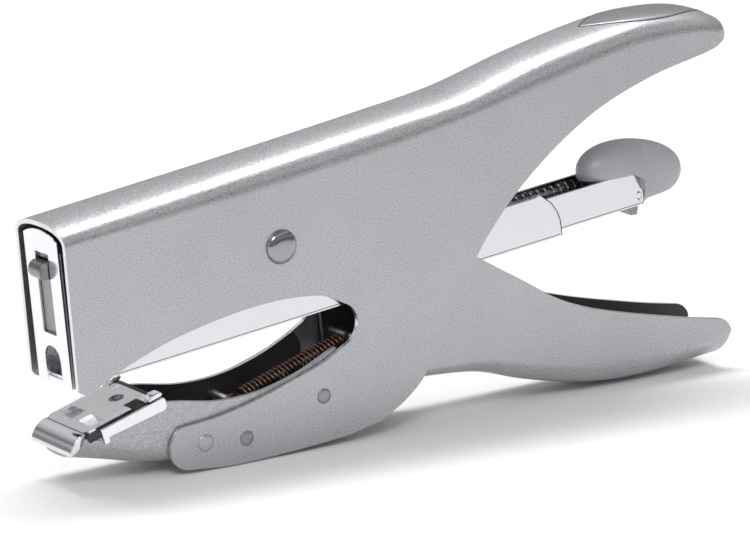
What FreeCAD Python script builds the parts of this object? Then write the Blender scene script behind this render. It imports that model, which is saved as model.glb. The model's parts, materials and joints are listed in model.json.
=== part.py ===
import FreeCAD, Part
import math
import os

# Plier stapler.  Millimetres and degrees.  The pieces are drawn in a working frame whose origin is on
# the axis of the pivot pin, +X to the rear along the magazine, +Y across and +Z up.  The whole part is
# then pitched so that it stands on the cheeks and on the end of the lower handle.

DRIVING_SIZES = {
    # overall sizes
    "nose_reach": 61.9, "handle_reach": 149.4, "lever_reach": 142.0, "casing_width": 22.4,
    "cheek_drop": 54.1, "handle_drop": 67.9, "roof_rise": 20.1, "handle_rise": 30.3,
    # sheet thicknesses
    "casing_gauge": 1.2, "lever_gauge": 1.2, "jaw_gauge": 1.2, "magazine_gauge": 0.75,
    "plate_gauge": 0.8, "anvil_gauge": 1.2, "inlay_gauge": 0.55,
    # widths across the part
    "staple_crown": 13.0, "knob_width": 15.2, "inlay_bulge": 7.6, "inlay_seam": 0.25,
    # clearances on each side
    "jaw_clearance": 0.2, "lever_clearance": 0.4, "strip_clearance": 0.2, "core_clearance": 0.4,
    "arm_clearance": 0.4, "anvil_inset": 0.8, "spacer_clearance": 1.2,
    # pivot
    "pin_radius": 2.5, "running_clearance": 0.05, "dome_radius": 4.4, "dome_height": 1.7,
    "rivet_radius": 1.9, "arm_eye_wall": 2.75, "magazine_eye_wall": 4.65, "bush_wall": 1.25,
    # travel
    "squeeze_angle": 21.0, "closing_angle": 10.0, "close_gap": 0.2,
    # magazine, core and staples
    "magazine_bottom": -21.3, "magazine_top": -9.2, "magazine_end": 88.0, "core_end": 118.4,
    "core_top": -11.15, "staple_wire": 0.5, "staple_leg": 6.0, "strip_length": 50.0,
    "blade_gauge": 0.6, "blade_top": 13.4, "tongue_height": 4.4, "tongue_width": 5.2,
    "tongue_level": 8.2, "slide_clearance": 0.1,
    # anvil
    "anvil_length": 23.0, "anvil_front": -65.2, "pocket_span": 5.6, "pocket_radius": 4.5,
    # loader
    "knob_length": 32.0, "knob_height": 16.6, "rod_radius": 1.0, "rod_level": -16.2,
    "pusher_length": 12.0, "pusher_spring_radius": 2.4,
    # return spring
    "spring_radius": 2.3, "spring_wire": 0.7, "anchor_radius": 1.2,
}

# Widths that follow from the sizes above and a clearance.
TIED_SIZES = {
    "jaw_width": "=casing_width - 2*casing_gauge - 2*jaw_clearance",
    "lever_width": "=casing_width - 2*casing_gauge - 2*lever_clearance",
    "magazine_width": "=staple_crown + 2*magazine_gauge + 2*strip_clearance",
    "core_width": "=staple_crown - 2*staple_wire - 2*core_clearance",
    "arm_width": "=staple_crown - 2*arm_clearance",
    "anvil_width": "=jaw_width - 2*anvil_inset",
    "bore_radius": "=pin_radius + running_clearance",
    "spacer_length": "=jaw_width - 2*jaw_gauge - 2*spacer_clearance",
}

doc = FreeCAD.newDocument("plier_stapler")
sheet = doc.addObject("Spreadsheet::Sheet", "Sizes")
for row, (alias, number) in enumerate({**DRIVING_SIZES, **TIED_SIZES}.items(), start=1):
    sheet.set("A%d" % row, alias.replace("_", " "))
    sheet.set("B%d" % row, str(number))
    sheet.setAlias("B%d" % row, alias)
doc.recompute()


def size(alias):
    """Value of one cell of the sheet of driving sizes."""
    return float(sheet.get(alias))


NOSE = size("nose_reach")
REAR = size("handle_reach")
LEVER_END = size("lever_reach")
CHEEK_LOW = -size("cheek_drop")
HANDLE_LOW = -size("handle_drop")
ROOF = size("roof_rise")
CROWN = size("handle_rise")
MAG_LOW = size("magazine_bottom")
SLIDE = size("slide_clearance")
FRONT_PLANE = -NOSE + size("plate_gauge")
BLADE_BACK = FRONT_PLANE + SLIDE + size("blade_gauge")
THROAT_X = 20.8
SINK = 60.0
SECTION_STEP = 16.0
ROUNDNESS = 2.4

# The cheeks touch the ground near this x, and the lower handle near the other.
CHEEK_CONTACT = (-12.0, CHEEK_LOW + 1.4)
HANDLE_CONTACT = (LEVER_END - 31.0, HANDLE_LOW + 0.75)
PITCH = math.degrees(math.atan2(CHEEK_CONTACT[1] - HANDLE_CONTACT[1],
                                HANDLE_CONTACT[0] - CHEEK_CONTACT[0]))
Y_AXIS = FreeCAD.Vector(0, 1, 0)
pieces = []


def turned(angle):
    """Placement turned about the pin so that +X rises by the angle."""
    return FreeCAD.Placement(FreeCAD.Vector(), FreeCAD.Rotation(Y_AXIS, -angle))


def jaw_frame():
    """The jaw is drawn square to the magazine's closed position."""
    return turned(size("closing_angle"))


def from_jaw(x, z):
    """A point of the closed position, given in the working frame."""
    point = jaw_frame().multVec(FreeCAD.Vector(x, 0, z))
    return (point.x, point.z)


def trace(sketch, start, steps):
    """Draws a closed outline.  A step is a corner (x, z), an arc ("arc", via, end) or a smooth
    curve ("curve", points...)."""
    here = FreeCAD.Vector(start[0], start[1], 0)
    first = here
    for step in list(steps) + [start]:
        if step[0] == "arc":
            via, end = [FreeCAD.Vector(p[0], p[1], 0) for p in step[1:]]
            sketch.addGeometry(Part.Arc(here, via, end))
        elif step[0] == "curve":
            points = [here] + [FreeCAD.Vector(p[0], p[1], 0) for p in step[1:]]
            curve = Part.BSplineCurve()
            curve.interpolate(points)
            sketch.addGeometry(curve)
            end = points[-1]
        else:
            end = FreeCAD.Vector(step[0], step[1], 0)
            if end.isEqual(here, 1e-6):
                continue
            sketch.addGeometry(Part.LineSegment(here, end))
        here = end
    assert here.isEqual(first, 1e-6)


def new_body(name):
    return doc.addObject("PartDesign::Body", name)


def new_sketch(body, name, role="XZ_Plane"):
    sketch = body.newObject("Sketcher::SketchObject", name)
    plane = [f for f in body.Origin.OriginFeatures if f.Role == role][0]
    sketch.AttachmentSupport = [(plane, "")]
    sketch.MapMode = "FlatFace"
    return sketch


def plate(name, start, steps, width, role="XZ_Plane"):
    """A body padded evenly both ways from its sketch plane; width is an expression."""
    body = new_body(name)
    sketch = new_sketch(body, name + "_outline", role)
    trace(sketch, start, steps)
    pad = body.newObject("PartDesign::Pad", name + "_pad")
    pad.Profile = sketch
    pad.SideType = "Symmetric"
    pad.setExpression("Length", width)
    doc.recompute()
    return body


def block(name, x0, x1, y0, y1, z0, z1):
    """A box between two corners."""
    box = doc.addObject("Part::Box", name)
    box.Length, box.Width, box.Height = x1 - x0, y1 - y0, z1 - z0
    box.Placement.Base = FreeCAD.Vector(x0, y0, z0)
    return box


def bar(name, radius, length, centre, axis):
    """A cylinder centred on a point, along X, Y or Z; radius and length are expressions."""
    rod = doc.addObject("Part::Cylinder", name)
    rod.setExpression("Radius", radius)
    rod.setExpression("Height", length)
    doc.recompute()
    turn = FreeCAD.Rotation(FreeCAD.Vector(0, 0, 1), axis)
    rod.Placement = FreeCAD.Placement(FreeCAD.Vector(*centre) - axis * (float(rod.Height) / 2), turn)
    return rod


def combine(kind, name, *objects):
    """A boolean of two or more objects: Cut and Common take two, MultiFuse any number."""
    result = doc.addObject("Part::" + kind, name)
    if kind in ("MultiFuse", "MultiCommon"):
        result.Shapes = list(objects)
    else:
        result.Base, result.Tool = objects
    return result


def cut_all(name, base, *tools):
    """Cuts several tools from one base."""
    tool = tools[0] if len(tools) == 1 else combine("MultiFuse", name + "_tools", *tools)
    return combine("Cut", name + "_trimmed", base, tool)


def keep(name, piece, moved=None):
    """Registers one sub-part under its own label, with its place in the working frame."""
    piece.Label = name
    local = piece.Placement
    if moved is not None:
        local = moved.multiply(local)
    pieces.append((name, piece, local))


Y = FreeCAD.Vector(0, 1, 0)
X = FreeCAD.Vector(1, 0, 0)
Z = FreeCAD.Vector(0, 0, 1)
ORIGIN = (0, 0, 0)


def section_wire(x, half, crease, apex, low):
    """One cross-section of a crowned roof or a rounded trough: straight sides from low to the crease,
    then a flattened round, a superellipse, to the apex."""
    quarter = []
    for angle in (20, 45, 68):
        across = half * math.cos(math.radians(angle)) ** (2 / ROUNDNESS)
        rise = (apex - crease) * math.sin(math.radians(angle)) ** (2 / ROUNDNESS)
        quarter.append((across, crease + rise))
    left, right = FreeCAD.Vector(x, -half, crease), FreeCAD.Vector(x, half, crease)
    points = [left] + [FreeCAD.Vector(x, -a, b) for a, b in quarter] + [FreeCAD.Vector(x, 0, apex)]
    points += [FreeCAD.Vector(x, a, b) for a, b in reversed(quarter)] + [right]
    up = 1 if apex > crease else -1
    curve = Part.BSplineCurve()
    curve.interpolate(Points=points, InitialTangent=FreeCAD.Vector(0, 0, up),
                      FinalTangent=FreeCAD.Vector(0, 0, -up))
    base_left, base_right = FreeCAD.Vector(x, -half, low), FreeCAD.Vector(x, half, low)
    sides = [Part.makeLine(base_left, left), curve.toShape(), Part.makeLine(right, base_right),
             Part.makeLine(base_right, base_left)]
    return Part.Wire(sides)


def smooth_value(x, knots, column):
    """Value at x of the smooth line through the knots, with an even slope through each knot."""
    last = len(knots) - 1
    i = max(0, min(last - 1, sum(1 for knot in knots[1:] if knot[0] < x)))

    def slope(k):
        a, b = knots[max(0, k - 1)], knots[min(last, k + 1)]
        return (b[column] - a[column]) / (b[0] - a[0])

    a, b = knots[i], knots[i + 1]
    span = b[0] - a[0]
    t = (x - a[0]) / span
    rise = (2 * t ** 3 - 3 * t ** 2 + 1) * a[column] + (3 * t ** 2 - 2 * t ** 3) * b[column]
    return rise + span * ((t ** 3 - 2 * t ** 2 + t) * slope(i) + (t ** 3 - t ** 2) * slope(i + 1))


def crowned(name, knots, half, low, inset=0.0):
    """A long body lofted through evenly spaced crowned sections; a knot is (x, crease, apex), and
    the inset moves the sides and the crown inwards."""
    up = 1 if knots[0][2] > knots[0][1] else -1
    count = max(6, round((knots[-1][0] - knots[0][0]) / SECTION_STEP))
    wires = []
    for n in range(count + 1):
        x = knots[0][0] + (knots[-1][0] - knots[0][0]) * n / count
        crease, apex = smooth_value(x, knots, 1), smooth_value(x, knots, 2)
        wires.append(section_wire(x, half - inset, crease, apex - up * inset, low))
    feature = doc.addObject("Part::Feature", name)
    feature.Shape = Part.makeLoft(wires, True, False)
    return feature


# ---- casing -------------------------------------------------------------------------------------

def roof_stations():
    """Crease and top of the casing, from the nose to past the end of the upper handle."""
    return [(-NOSE - 4, 15.5, ROOF), (-NOSE / 2, 15.5, ROOF + 0.9), (0, 15.5, ROOF + 1.8),
            (38, 16.8, ROOF + 3.0), (62, 18.6, ROOF + 4.0), (86, 21.2, CROWN - 2.4),
            (REAR - 37, 24.1, CROWN), (REAR - 24, 23.9, CROWN - 0.4), (REAR - 10, 22.4, CROWN - 2.9),
            (REAR, 18.6, CROWN - 7.9), (REAR + 6, 15.0, CROWN - 13)]


def cheek_side():
    """The side of the casing: a C that is open towards the nose."""
    nose = -NOSE
    return plate(
        "cheek_side", (nose + 0.2, CROWN + 8),
        [(nose - 0.3, MAG_LOW + 2.3),
         ("arc", (nose + 0.8, MAG_LOW - 0.5), (nose + 3.4, MAG_LOW - 0.8)),
         ("curve", (-49.9, -18.8), (-31.8, -14.7), (-7.7, -13.2), (10.3, -15.6), (18.2, -20)),
         ("arc", (THROAT_X, -25.5), (18.0, -29.8)),
         ("curve", (8.4, -33.5), (-10.4, -37.1), (-22.6, -38.3), (-34.2, -38.2)),
         ("arc", (-37.9, -43.4), (-32.9, -49.6)),
         ("curve", (-18.1, -52.2), (12.4, CHEEK_LOW), (25, CHEEK_LOW + 0.8)),
         ("curve", (33.2, -49.9), (40.1, -44.8), (51.2, -29.4), (62.2, -14.6), (78, -1.2),
          (98.6, 9.8), (118.9, 15.2), (REAR - 10.1, 17.5), (REAR + 1, 20.5)),
         (REAR + 1, CROWN + 8)],
        "Sizes.casing_width + 4")


def rear_plan(name, inset):
    """Plan view of the casing: straight sides and a half-round rear end."""
    half = size("casing_width") / 2 - inset
    rear = REAR - inset
    shape = plate(name, (-NOSE - 10, -half),
                  [(rear - 11.5, -half),
                   ("arc", (rear - 3.2, -0.72 * half), (rear, 0)),
                   ("arc", (rear - 3.2, 0.72 * half), (rear - 11.5, half)),
                   (-NOSE - 10, half)],
                  "400", "XY_Plane")
    return shape


def casing_shell():
    """The folded sheet, open underneath and at the nose."""
    half = size("casing_width") / 2
    gauge = size("casing_gauge")
    outer = combine("MultiCommon", "casing_outer", crowned("roof_outer", roof_stations(), half, -SINK),
                    cheek_side(), rear_plan("plan_outer", 0))
    inner = combine("Common", "casing_inner",
                    crowned("roof_inner", roof_stations(), half, -SINK - 5, gauge),
                    rear_plan("plan_inner", gauge))
    return combine("Cut", "casing_sheet", outer, inner)


def lens(name, margin):
    """Plan outline of the thumb inlay: two arcs that meet in points."""
    front, rear = REAR - 44 - margin, REAR - 2.8 + margin
    middle, bulge = (front + rear) / 2, size("inlay_bulge") + margin
    return plate(name, (front, 0),
                 [("arc", (middle, -bulge), (rear, 0)), ("arc", (middle, bulge), (front, 0))],
                 "400", "XY_Plane")


def skin(name, depth):
    """The top layer of the roof, as deep as the inlay is thick."""
    half = size("casing_width") / 2
    lowered = [(x, crease - depth, apex - depth) for x, crease, apex in roof_stations()]
    return combine("Cut", name, crowned(name + "_top", roof_stations(), half, -SINK),
                   crowned(name + "_under", lowered, half + 1, -SINK - 5))


def casing_and_inlay():
    """Casing with its holes and the recess for the inlay, and the inlay."""
    inlay_depth, seam = size("inlay_gauge"), size("inlay_seam")
    recess = combine("Common", "inlay_recess", skin("recess_skin", inlay_depth),
                     lens("recess_lens", seam))
    inlay = combine("Common", "inlay_sheet", skin("inlay_skin", inlay_depth), lens("inlay_lens", 0))
    wide = "Sizes.casing_width + 10"
    holes = [bar("casing_pin_hole", "Sizes.pin_radius", wide, ORIGIN, Y)]
    for number, (x, z) in enumerate(RIVETS):
        holes.append(bar("casing_rivet_hole_%d" % number, "Sizes.rivet_radius", wide, (x, 0, z), Y))
    trimmed = cut_all("casing", casing_shell(), recess, *holes)
    bosses = []
    for number, side in enumerate((-1, 1)):
        ball = doc.addObject("Part::Sphere", "dimple_%d" % number)
        ball.Radius = DIMPLE_RADIUS
        sunk = size("casing_width") / 2 - DIMPLE_RADIUS + 0.45
        ball.Placement.Base = FreeCAD.Vector(DIMPLE[0], side * sunk, DIMPLE[1])
        inside = size("casing_width") / 2 - size("casing_gauge")
        keep_side = block("dimple_side_%d" % number, DIMPLE[0] - 9, DIMPLE[0] + 9,
                          min(side * inside, side * 20), max(side * inside, side * 20),
                          DIMPLE[1] - 9, DIMPLE[1] + 9)
        bosses.append(combine("Common", "dimple_boss_%d" % number, ball, keep_side))
    keep("casing", combine("MultiFuse", "casing_solid", trimmed, *bosses))
    keep("thumb_inlay", inlay)


RIVETS = ((-15.5, -46.2), (8.6, -41.8))
DIMPLE = (-27.6, -43.9)
DIMPLE_RADIUS = 4.6


# ---- jaw ----------------------------------------------------------------------------------------

def trough_step(name, stations, share, gauge):
    """One step of the trough's hollow, as wide as a share of the jaw and a gauge above its outside."""
    lift = (1 - share ** ROUNDNESS) ** (1 / ROUNDNESS)
    floor = [(x, crease + (apex - crease) * lift + gauge) for x, crease, apex in stations]
    high = 60
    return plate(name, (floor[0][0], high), [floor[0], ("curve", *floor[1:]), (floor[-1][0], high)],
                 "%.4f*Sizes.jaw_width" % share)


def jaw_arm():
    """The fixed jaw: a trough with a rounded bottom, riveted between the cheeks."""
    half, gauge = size("jaw_width") / 2, size("jaw_gauge")
    front = size("anvil_front")
    seat = MAG_LOW - size("close_gap") - 2 * size("anvil_gauge")
    tip = from_jaw(front + 0.3, seat)
    chin = from_jaw(front - NOSE_ROLL - 0.2, seat - 2.0)
    heel = from_jaw(front + size("anvil_length"), seat)
    stations = [(-80, -23, -29.5), (-64.8, -31.8, -37.4), (-52, -37.3, -43.2), (-40, -42, -47.2),
                (-20, -46.3, -51.4), (0, -47, -52.6), (14, -47, -52.8), (30, -46, -52.0)]
    outline = plate("jaw_side", tip,
                    [heel, ("curve", (-32.9, -31.8), (-21.3, -34.9), (-9.3, -35.8), (3.1, -34.1),
                            (14.2, -30.6)), (16.0, -34), (16.0, -58), (chin[0], -58), chin],
                    "Sizes.jaw_width + 4")
    outer = combine("Common", "jaw_outer", crowned("jaw_bulk", stations, half, 40), outline)
    beside_spacers = (size("spacer_length") / 2 + size("jaw_clearance")) / half
    hollow = [trough_step("jaw_hollow_%d" % n, stations, share, gauge)
              for n, share in enumerate((1 - gauge / half, beside_spacers, 0.57, 0.3))]
    sheet_shape = cut_all("jaw_sheet", outer, *hollow)
    wide = "Sizes.casing_width + 10"
    holes = [bar("jaw_rivet_hole_%d" % n, "Sizes.rivet_radius", wide, (x, 0, z), Y)
             for n, (x, z) in enumerate(RIVETS)]
    holes.append(bar("jaw_spring_hole", "Sizes.anchor_radius", wide, (SPRING_FRONT[0], 0,
                                                                     SPRING_FRONT[1]), Y))
    keep("jaw_arm", cut_all("jaw", sheet_shape, *holes))


NOSE_ROLL = 5.2
SPRING_FRONT = (-12.0, -40.2)
SPRING_REAR = (25.5, -33.0)


def jaw_fasteners():
    """Two rivets through cheeks and jaw, with a spacer tube on each between the jaw's walls."""
    rivets, tubes = [], []
    flush = "Sizes.casing_width + 0.5"
    bore = "Sizes.rivet_radius"
    for n, (x, z) in enumerate(RIVETS):
        rivets.append(bar("rivet_%d" % n, bore, flush, (x, 0, z), Y))
        tubes.append(tube("spacer_%d" % n, "Sizes.rivet_radius + 0.6", bore, "Sizes.spacer_length",
                          (x, 0, z), Y))
    keep_group("jaw_rivets", rivets)
    keep_group("jaw_spacers", tubes)


def keep_group(name, solids):
    """Identical fasteners share one node as a group of separate solids."""
    group = doc.addObject("Part::Compound", name)
    group.Links = solids
    keep(name, group)


def anvil():
    """Anvil bracket, anvil plate with its two bending pockets, rivet and rolled nose."""
    front, long = size("anvil_front"), size("anvil_length")
    gauge, half = size("anvil_gauge"), size("anvil_width") / 2
    top = MAG_LOW - size("close_gap")
    middle = top - gauge
    low = middle - gauge
    skirt_out = size("jaw_width") / 2 + 0.85
    skirt_in = size("jaw_width") / 2 + 0.05
    strap = block("bracket_deck", front, front + long, -skirt_out, skirt_out, low, middle)
    flaps = []
    for n, (x0, x1, drop) in enumerate(((front + 5, front + 17, 2.6), (front + 17, front + long, 4.8))):
        for side in (-1, 1):
            y0, y1 = sorted((side * skirt_in, side * skirt_out))
            flaps.append(block("bracket_flap_%d_%d" % (n, side + 1), x0, x1, y0, y1, low - drop, middle))
    deck = combine("MultiFuse", "bracket", strap, *flaps)
    hole_at = (front + 15.5, 0, middle)
    reach = "3*Sizes.anvil_gauge + 4"
    keep("anvil_bracket", combine("Cut", "anvil_bracket_cut", deck,
                                  bar("bracket_hole", "Sizes.rivet_radius", reach, hole_at, Z)),
         jaw_frame())
    pad = block("anvil_slab", front, front + long - 2.5, -half, half, middle, top)
    pockets = []
    depth = size("pocket_radius") - math.sqrt(size("pocket_radius") ** 2 - (size("pocket_span") / 2) ** 2)
    for n, side in enumerate((-1, 1)):
        across = side * (size("staple_crown") / 2 - size("pocket_span") / 2 + 0.3)
        centre = ((FRONT_PLANE + BLADE_BACK) / 2, across, top - min(depth, 0.8 * gauge)
                  + size("pocket_radius"))
        pockets.append(bar("pocket_%d" % n, "Sizes.pocket_radius", "2.2", centre, X))
    keep("anvil_plate", cut_all("anvil_plate", pad, bar("plate_hole", "Sizes.rivet_radius", reach,
                                                        hole_at, Z), *pockets), jaw_frame())
    keep("anvil_rivet", bar("anvil_rivet_pin", "Sizes.rivet_radius", "2*Sizes.anvil_gauge",
                            (hole_at[0], 0, middle), Z), jaw_frame())
    cap = plate("nose_roll", (front - 0.05, top - 0.25),
                [("arc", (front - 0.72 * NOSE_ROLL, top - 1.5), (front - NOSE_ROLL - 0.5, low - 1.6)),
                 (front - NOSE_ROLL + 0.1, low - 1.9), (front - 0.05, low - 0.05)],
                "Sizes.anvil_width")
    keep("nose_cap", cap, jaw_frame())


# ---- pivot --------------------------------------------------------------------------------------

def dome(name, side):
    """A domed head outside the casing, cut from a ball."""
    radius, height = size("dome_radius"), size("dome_height")
    ball_radius = (radius ** 2 + height ** 2) / (2 * height)
    ball = doc.addObject("Part::Sphere", name + "_ball")
    ball.Radius = ball_radius
    face = size("casing_width") / 2
    ball.Placement.Base = FreeCAD.Vector(0, side * (face + height - ball_radius), 0)
    y0, y1 = sorted((side * face, side * (face + 5)))
    return combine("Common", name, ball, block(name + "_half", -9, 9, y0, y1, -9, 9))


def pivot():
    """Main pin with its head, and the cap pressed on its other end."""
    shank = bar("pin_shank", "Sizes.pin_radius", "Sizes.casing_width", ORIGIN, Y)
    keep("pivot_pin", combine("MultiFuse", "pin_and_head", shank, dome("pin_head", -1)))
    keep("pivot_cap", dome("pin_cap", 1))


# ---- lever --------------------------------------------------------------------------------------

def handle_stations():
    """Crease and bottom of the lower handle's trough."""
    rear = LEVER_END
    return [(0, -36, -39), (40, -43.9, -47.4), (60, -46.8, -51.6), (76, -52, -58.2), (91, -56.4, -63.3),
            (rear - 38, -58.3, HANDLE_LOW + 1.5), (rear - 25, -59.8, HANDLE_LOW + 0.15),
            (rear - 8, -60.8, HANDLE_LOW), (rear + 6, -61, HANDLE_LOW - 0.3)]


def handle_side():
    """Side of the lower handle, from its eyes round the pin to the flared end."""
    rear = LEVER_END
    return plate("handle_side", (0, 8.5),
                 [("curve", (14, 7.6), (28, 4.4), (45, -6), (60.6, -19.2)),
                  ("curve", (73.3, -28.4), (85.6, -37.2), (98.3, -43.5), (rear - 17, -52.8),
                   (rear - 5, -56.6)),
                  ("arc", (rear - 0.7, -60.0), (rear, -64)), (rear - 1, -90), (37.5, -90), (37.5, -49),
                  (30, -48), ("arc", (21.5, -44.5), (19, -38)), (18.2, -24),
                  ("arc", (12.5, -13.5), (2, -8.3)), ("arc", (-8.5, 0), (0, 8.5))],
                 "Sizes.lever_width + 4")


def lower_handle():
    """The squeezed handle: walls up to the pin and a trough with a rounded bottom."""
    half, gauge = size("lever_width") / 2, size("lever_gauge")
    outer = combine("Common", "handle_outer", crowned("handle_bulk", handle_stations(), half, 60),
                    handle_side())
    sheet_shape = combine("Cut", "handle_sheet", outer,
                          crowned("handle_hollow", handle_stations(), half, 65, gauge))
    wings = plate("wing_side", (0, 8.0), [(-26, 8.0), ("arc", (-28.5, 5.2), (-26, 2.4)), (-8, -2),
                                         (0, -5)], "Sizes.lever_width")
    gap = block("wing_gap", -40, 20, -half + gauge, half - gauge, -20, 20)
    both = combine("MultiFuse", "handle_all", sheet_shape, combine("Cut", "wings", wings, gap))
    wide = "Sizes.lever_width + 10"
    holes = [bar("handle_pin_hole", "Sizes.bore_radius", wide, ORIGIN, Y),
             bar("handle_arm_hole", "Sizes.rivet_radius", wide, ARM_RIVET, Y),
             bar("handle_spring_hole", "Sizes.anchor_radius", wide, (SPRING_REAR[0], 0,
                                                                    SPRING_REAR[1]), Y)]
    keep("lower_handle", cut_all("handle", both, *holes))


ARM_RIVET = (-22.0, 0, 5.2)


def driver_arm():
    """Inner arm that carries the squeeze to the blade: a channel with a tongue at its end."""
    level, tall = size("tongue_level"), size("tongue_height")
    tip = -NOSE - 1.0
    eye = size("bore_radius") + size("arm_eye_wall")
    body = plate("arm_side", (0, eye),
                 [(-20, 9.5), (-40, 12.4), (tip + 8, 12.4), (tip + 5.5, level + tall / 2),
                  (tip + 5.5, level - tall / 2), (-46, 1.5), (-24, -1.0), (-1.5, -eye),
                  ("arc", (0.7 * eye, -0.7 * eye), (eye, 0)), ("arc", (0.7 * eye, 0.7 * eye), (0, eye))],
                 "Sizes.arm_width")
    tongue = plate("arm_tongue", (-50, level + tall / 2),
                   [(tip, level + tall / 2), ("arc", (tip - 1.6, level), (tip, level - tall / 2)),
                    (-50, level - tall / 2)], "Sizes.tongue_width")
    inner = size("arm_width") / 2 - 1.0
    hollow = block("arm_hollow", -44, 20, -inner, inner, -20, 7.4)
    channel = combine("Cut", "arm_channel", body, hollow)
    both = combine("MultiFuse", "arm_all", channel, tongue)
    wide = "Sizes.arm_width + 10"
    keep("driver_arm", cut_all("arm", both,
                               bar("arm_pin_hole", "Sizes.bore_radius", wide,
                                   ORIGIN, Y),
                               bar("arm_rivet_hole", "Sizes.rivet_radius", wide, ARM_RIVET, Y)))


def tube(name, outer, inner, length, centre, axis):
    """A plain tube."""
    return combine("Cut", name, bar(name + "_outer", outer, length, centre, axis),
                   bar(name + "_bore", inner, length + " + 2", centre, axis))


def lever_fasteners():
    """Rivet that ties the arm to the handle, its spacers, the pin's bush and washers."""
    keep("arm_rivet", bar("arm_rivet_pin", "Sizes.rivet_radius", "Sizes.lever_width", ARM_RIVET, Y))
    arm, lever = size("arm_width") / 2, size("lever_width") / 2 - size("lever_gauge")
    spacer = "Sizes.lever_width/2 - Sizes.lever_gauge - Sizes.arm_width/2"
    keep_group("arm_spacers", [tube("arm_spacer_%d" % n, "Sizes.rivet_radius + 1", "Sizes.rivet_radius",
                                    spacer, (ARM_RIVET[0], side * (arm + lever) / 2, ARM_RIVET[2]), Y)
                               for n, side in enumerate((-1, 1))])
    bore = "Sizes.bore_radius"
    keep("pivot_bush", tube("bush", "Sizes.bore_radius + Sizes.bush_wall", bore, "Sizes.arm_width - 2",
                            ORIGIN, Y))
    gap = "Sizes.lever_width/2 - Sizes.lever_gauge - Sizes.magazine_width/2 - 2*Sizes.running_clearance"
    middle = (lever + size("magazine_width") / 2) / 2
    keep_group("pivot_washers", [tube("washer_%d" % n, "Sizes.pin_radius + 2", bore, gap,
                                      (0, side * middle, 0), Y) for n, side in enumerate((-1, 1))])


# ---- return spring ------------------------------------------------------------------------------

def return_spring():
    """Tension spring in the jaw between two cross pins, as one closed sleeve."""
    keep("spring_front_pin", bar("front_anchor", "Sizes.anchor_radius", "Sizes.jaw_width",
                                 (SPRING_FRONT[0], 0, SPRING_FRONT[1]), Y))
    keep("spring_rear_pin", bar("rear_anchor", "Sizes.anchor_radius", "Sizes.lever_width",
                                (SPRING_REAR[0], 0, SPRING_REAR[1]), Y))
    start = FreeCAD.Vector(SPRING_FRONT[0], 0, SPRING_FRONT[1])
    end = FreeCAD.Vector(SPRING_REAR[0], 0, SPRING_REAR[1])
    along = (end - start).normalize()
    room = size("anchor_radius") + 0.3
    spring = doc.addObject("Part::Cylinder", "spring_sleeve")
    spring.setExpression("Radius", "Sizes.spring_radius")
    spring.Height = (end - start).Length - 2 * room
    spring.Placement = FreeCAD.Placement(start + along * room, FreeCAD.Rotation(Z, along))
    keep("return_spring", spring)


# ---- magazine -----------------------------------------------------------------------------------

def magazine_channel():
    """Outer channel: floor, two walls, eyes round the pin and a riser that guides the blade."""
    low, high, end = MAG_LOW, size("magazine_top"), size("magazine_end")
    gauge = size("magazine_gauge")
    inner = size("magazine_width") / 2 - gauge
    eye = size("bore_radius") + size("magazine_eye_wall")
    walls = plate("magazine_side", (FRONT_PLANE, low),
                  [(end + 1.4, low), (end + 1.5, low + 1.2),
                   ("arc", (end - 0.3, low + 7), (end - 3.2, high - 0.9)), (end - 4.6, high + 0.5),
                   (end - 6, high), (eye + 1.8, high), (eye, 0), ("arc", (0, eye), (-eye, 0)),
                   (-eye - 1.8, high),
                   (-48, high), (-52, high + 5), (-54, 13.5), (FRONT_PLANE, 13.5)],
                  "Sizes.magazine_width")
    hollow = block("magazine_hollow", -100, end + 20, -inner, inner, low + gauge, 40)
    exit_slot = block("staple_exit", -100, BLADE_BACK + 0.1, -inner, inner, low - 1, low + 2)
    hole = bar("magazine_pin_hole", "Sizes.bore_radius",
               "Sizes.magazine_width + 10", ORIGIN, Y)
    keep("magazine_channel", cut_all("magazine", walls, hollow, exit_slot, hole))


def front_plate():
    """Polished plate at the nose, with the window for the tongue and the notch for the staple."""
    half = size("magazine_width") / 2
    crest = ROOF - 1.8
    body = new_body("front_plate_body")
    sketch = new_sketch(body, "front_plate_outline", "YZ_Plane")
    low = MAG_LOW - size("close_gap") / 2
    trace(sketch, (-half, low),
          [(-3.5, low), (-3.5, MAG_LOW + 6.2), ("arc", (0, MAG_LOW + 9.7), (3.5, MAG_LOW + 6.2)),
           (3.5, low), (half, low), (half, crest - 1.9),
           ("arc", (0, crest), (-half, crest - 1.9))])
    pad = body.newObject("PartDesign::Pad", "front_plate_pad")
    pad.Profile = sketch
    pad.setExpression("Length", "Sizes.plate_gauge")
    doc.recompute()
    window = new_sketch(body, "window_outline", "YZ_Plane")
    wide = size("tongue_width") / 2 + 0.35
    top, sill = size("tongue_level") + size("tongue_height") / 2 + 2.0, -8.35
    trace(window, (-wide, sill), [(wide, sill), (wide, top), (-wide, top)])
    opening = body.newObject("PartDesign::Pocket", "window_pocket")
    opening.Profile = window
    opening.Type = "ThroughAll"
    opening.Midplane = True
    doc.recompute()
    body.Placement.Base = FreeCAD.Vector(-NOSE, 0, 0)
    keep("front_plate", body)


def staple_cover():
    """Thin guide over the strip of staples."""
    inner = size("magazine_width") / 2 - size("magazine_gauge")
    top = size("magazine_top")
    keep("staple_cover", block("cover", -50, -12, -inner, inner, top - 0.6, top))


def leaf_spring():
    """Bent leaf between the cover and the arm, which lifts the magazine again."""
    top = size("magazine_top")
    leaf = plate("leaf", (-14, top), [(-14, top + 0.4), (-24, top + 0.4),
                                      ("curve", (-33, top + 2.2), (-41, top + 6.8)),
                                      (-41.2, top + 6.3), ("curve", (-33, top + 1.7), (-24, top))], "7")
    keep("leaf_spring", leaf)


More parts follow.
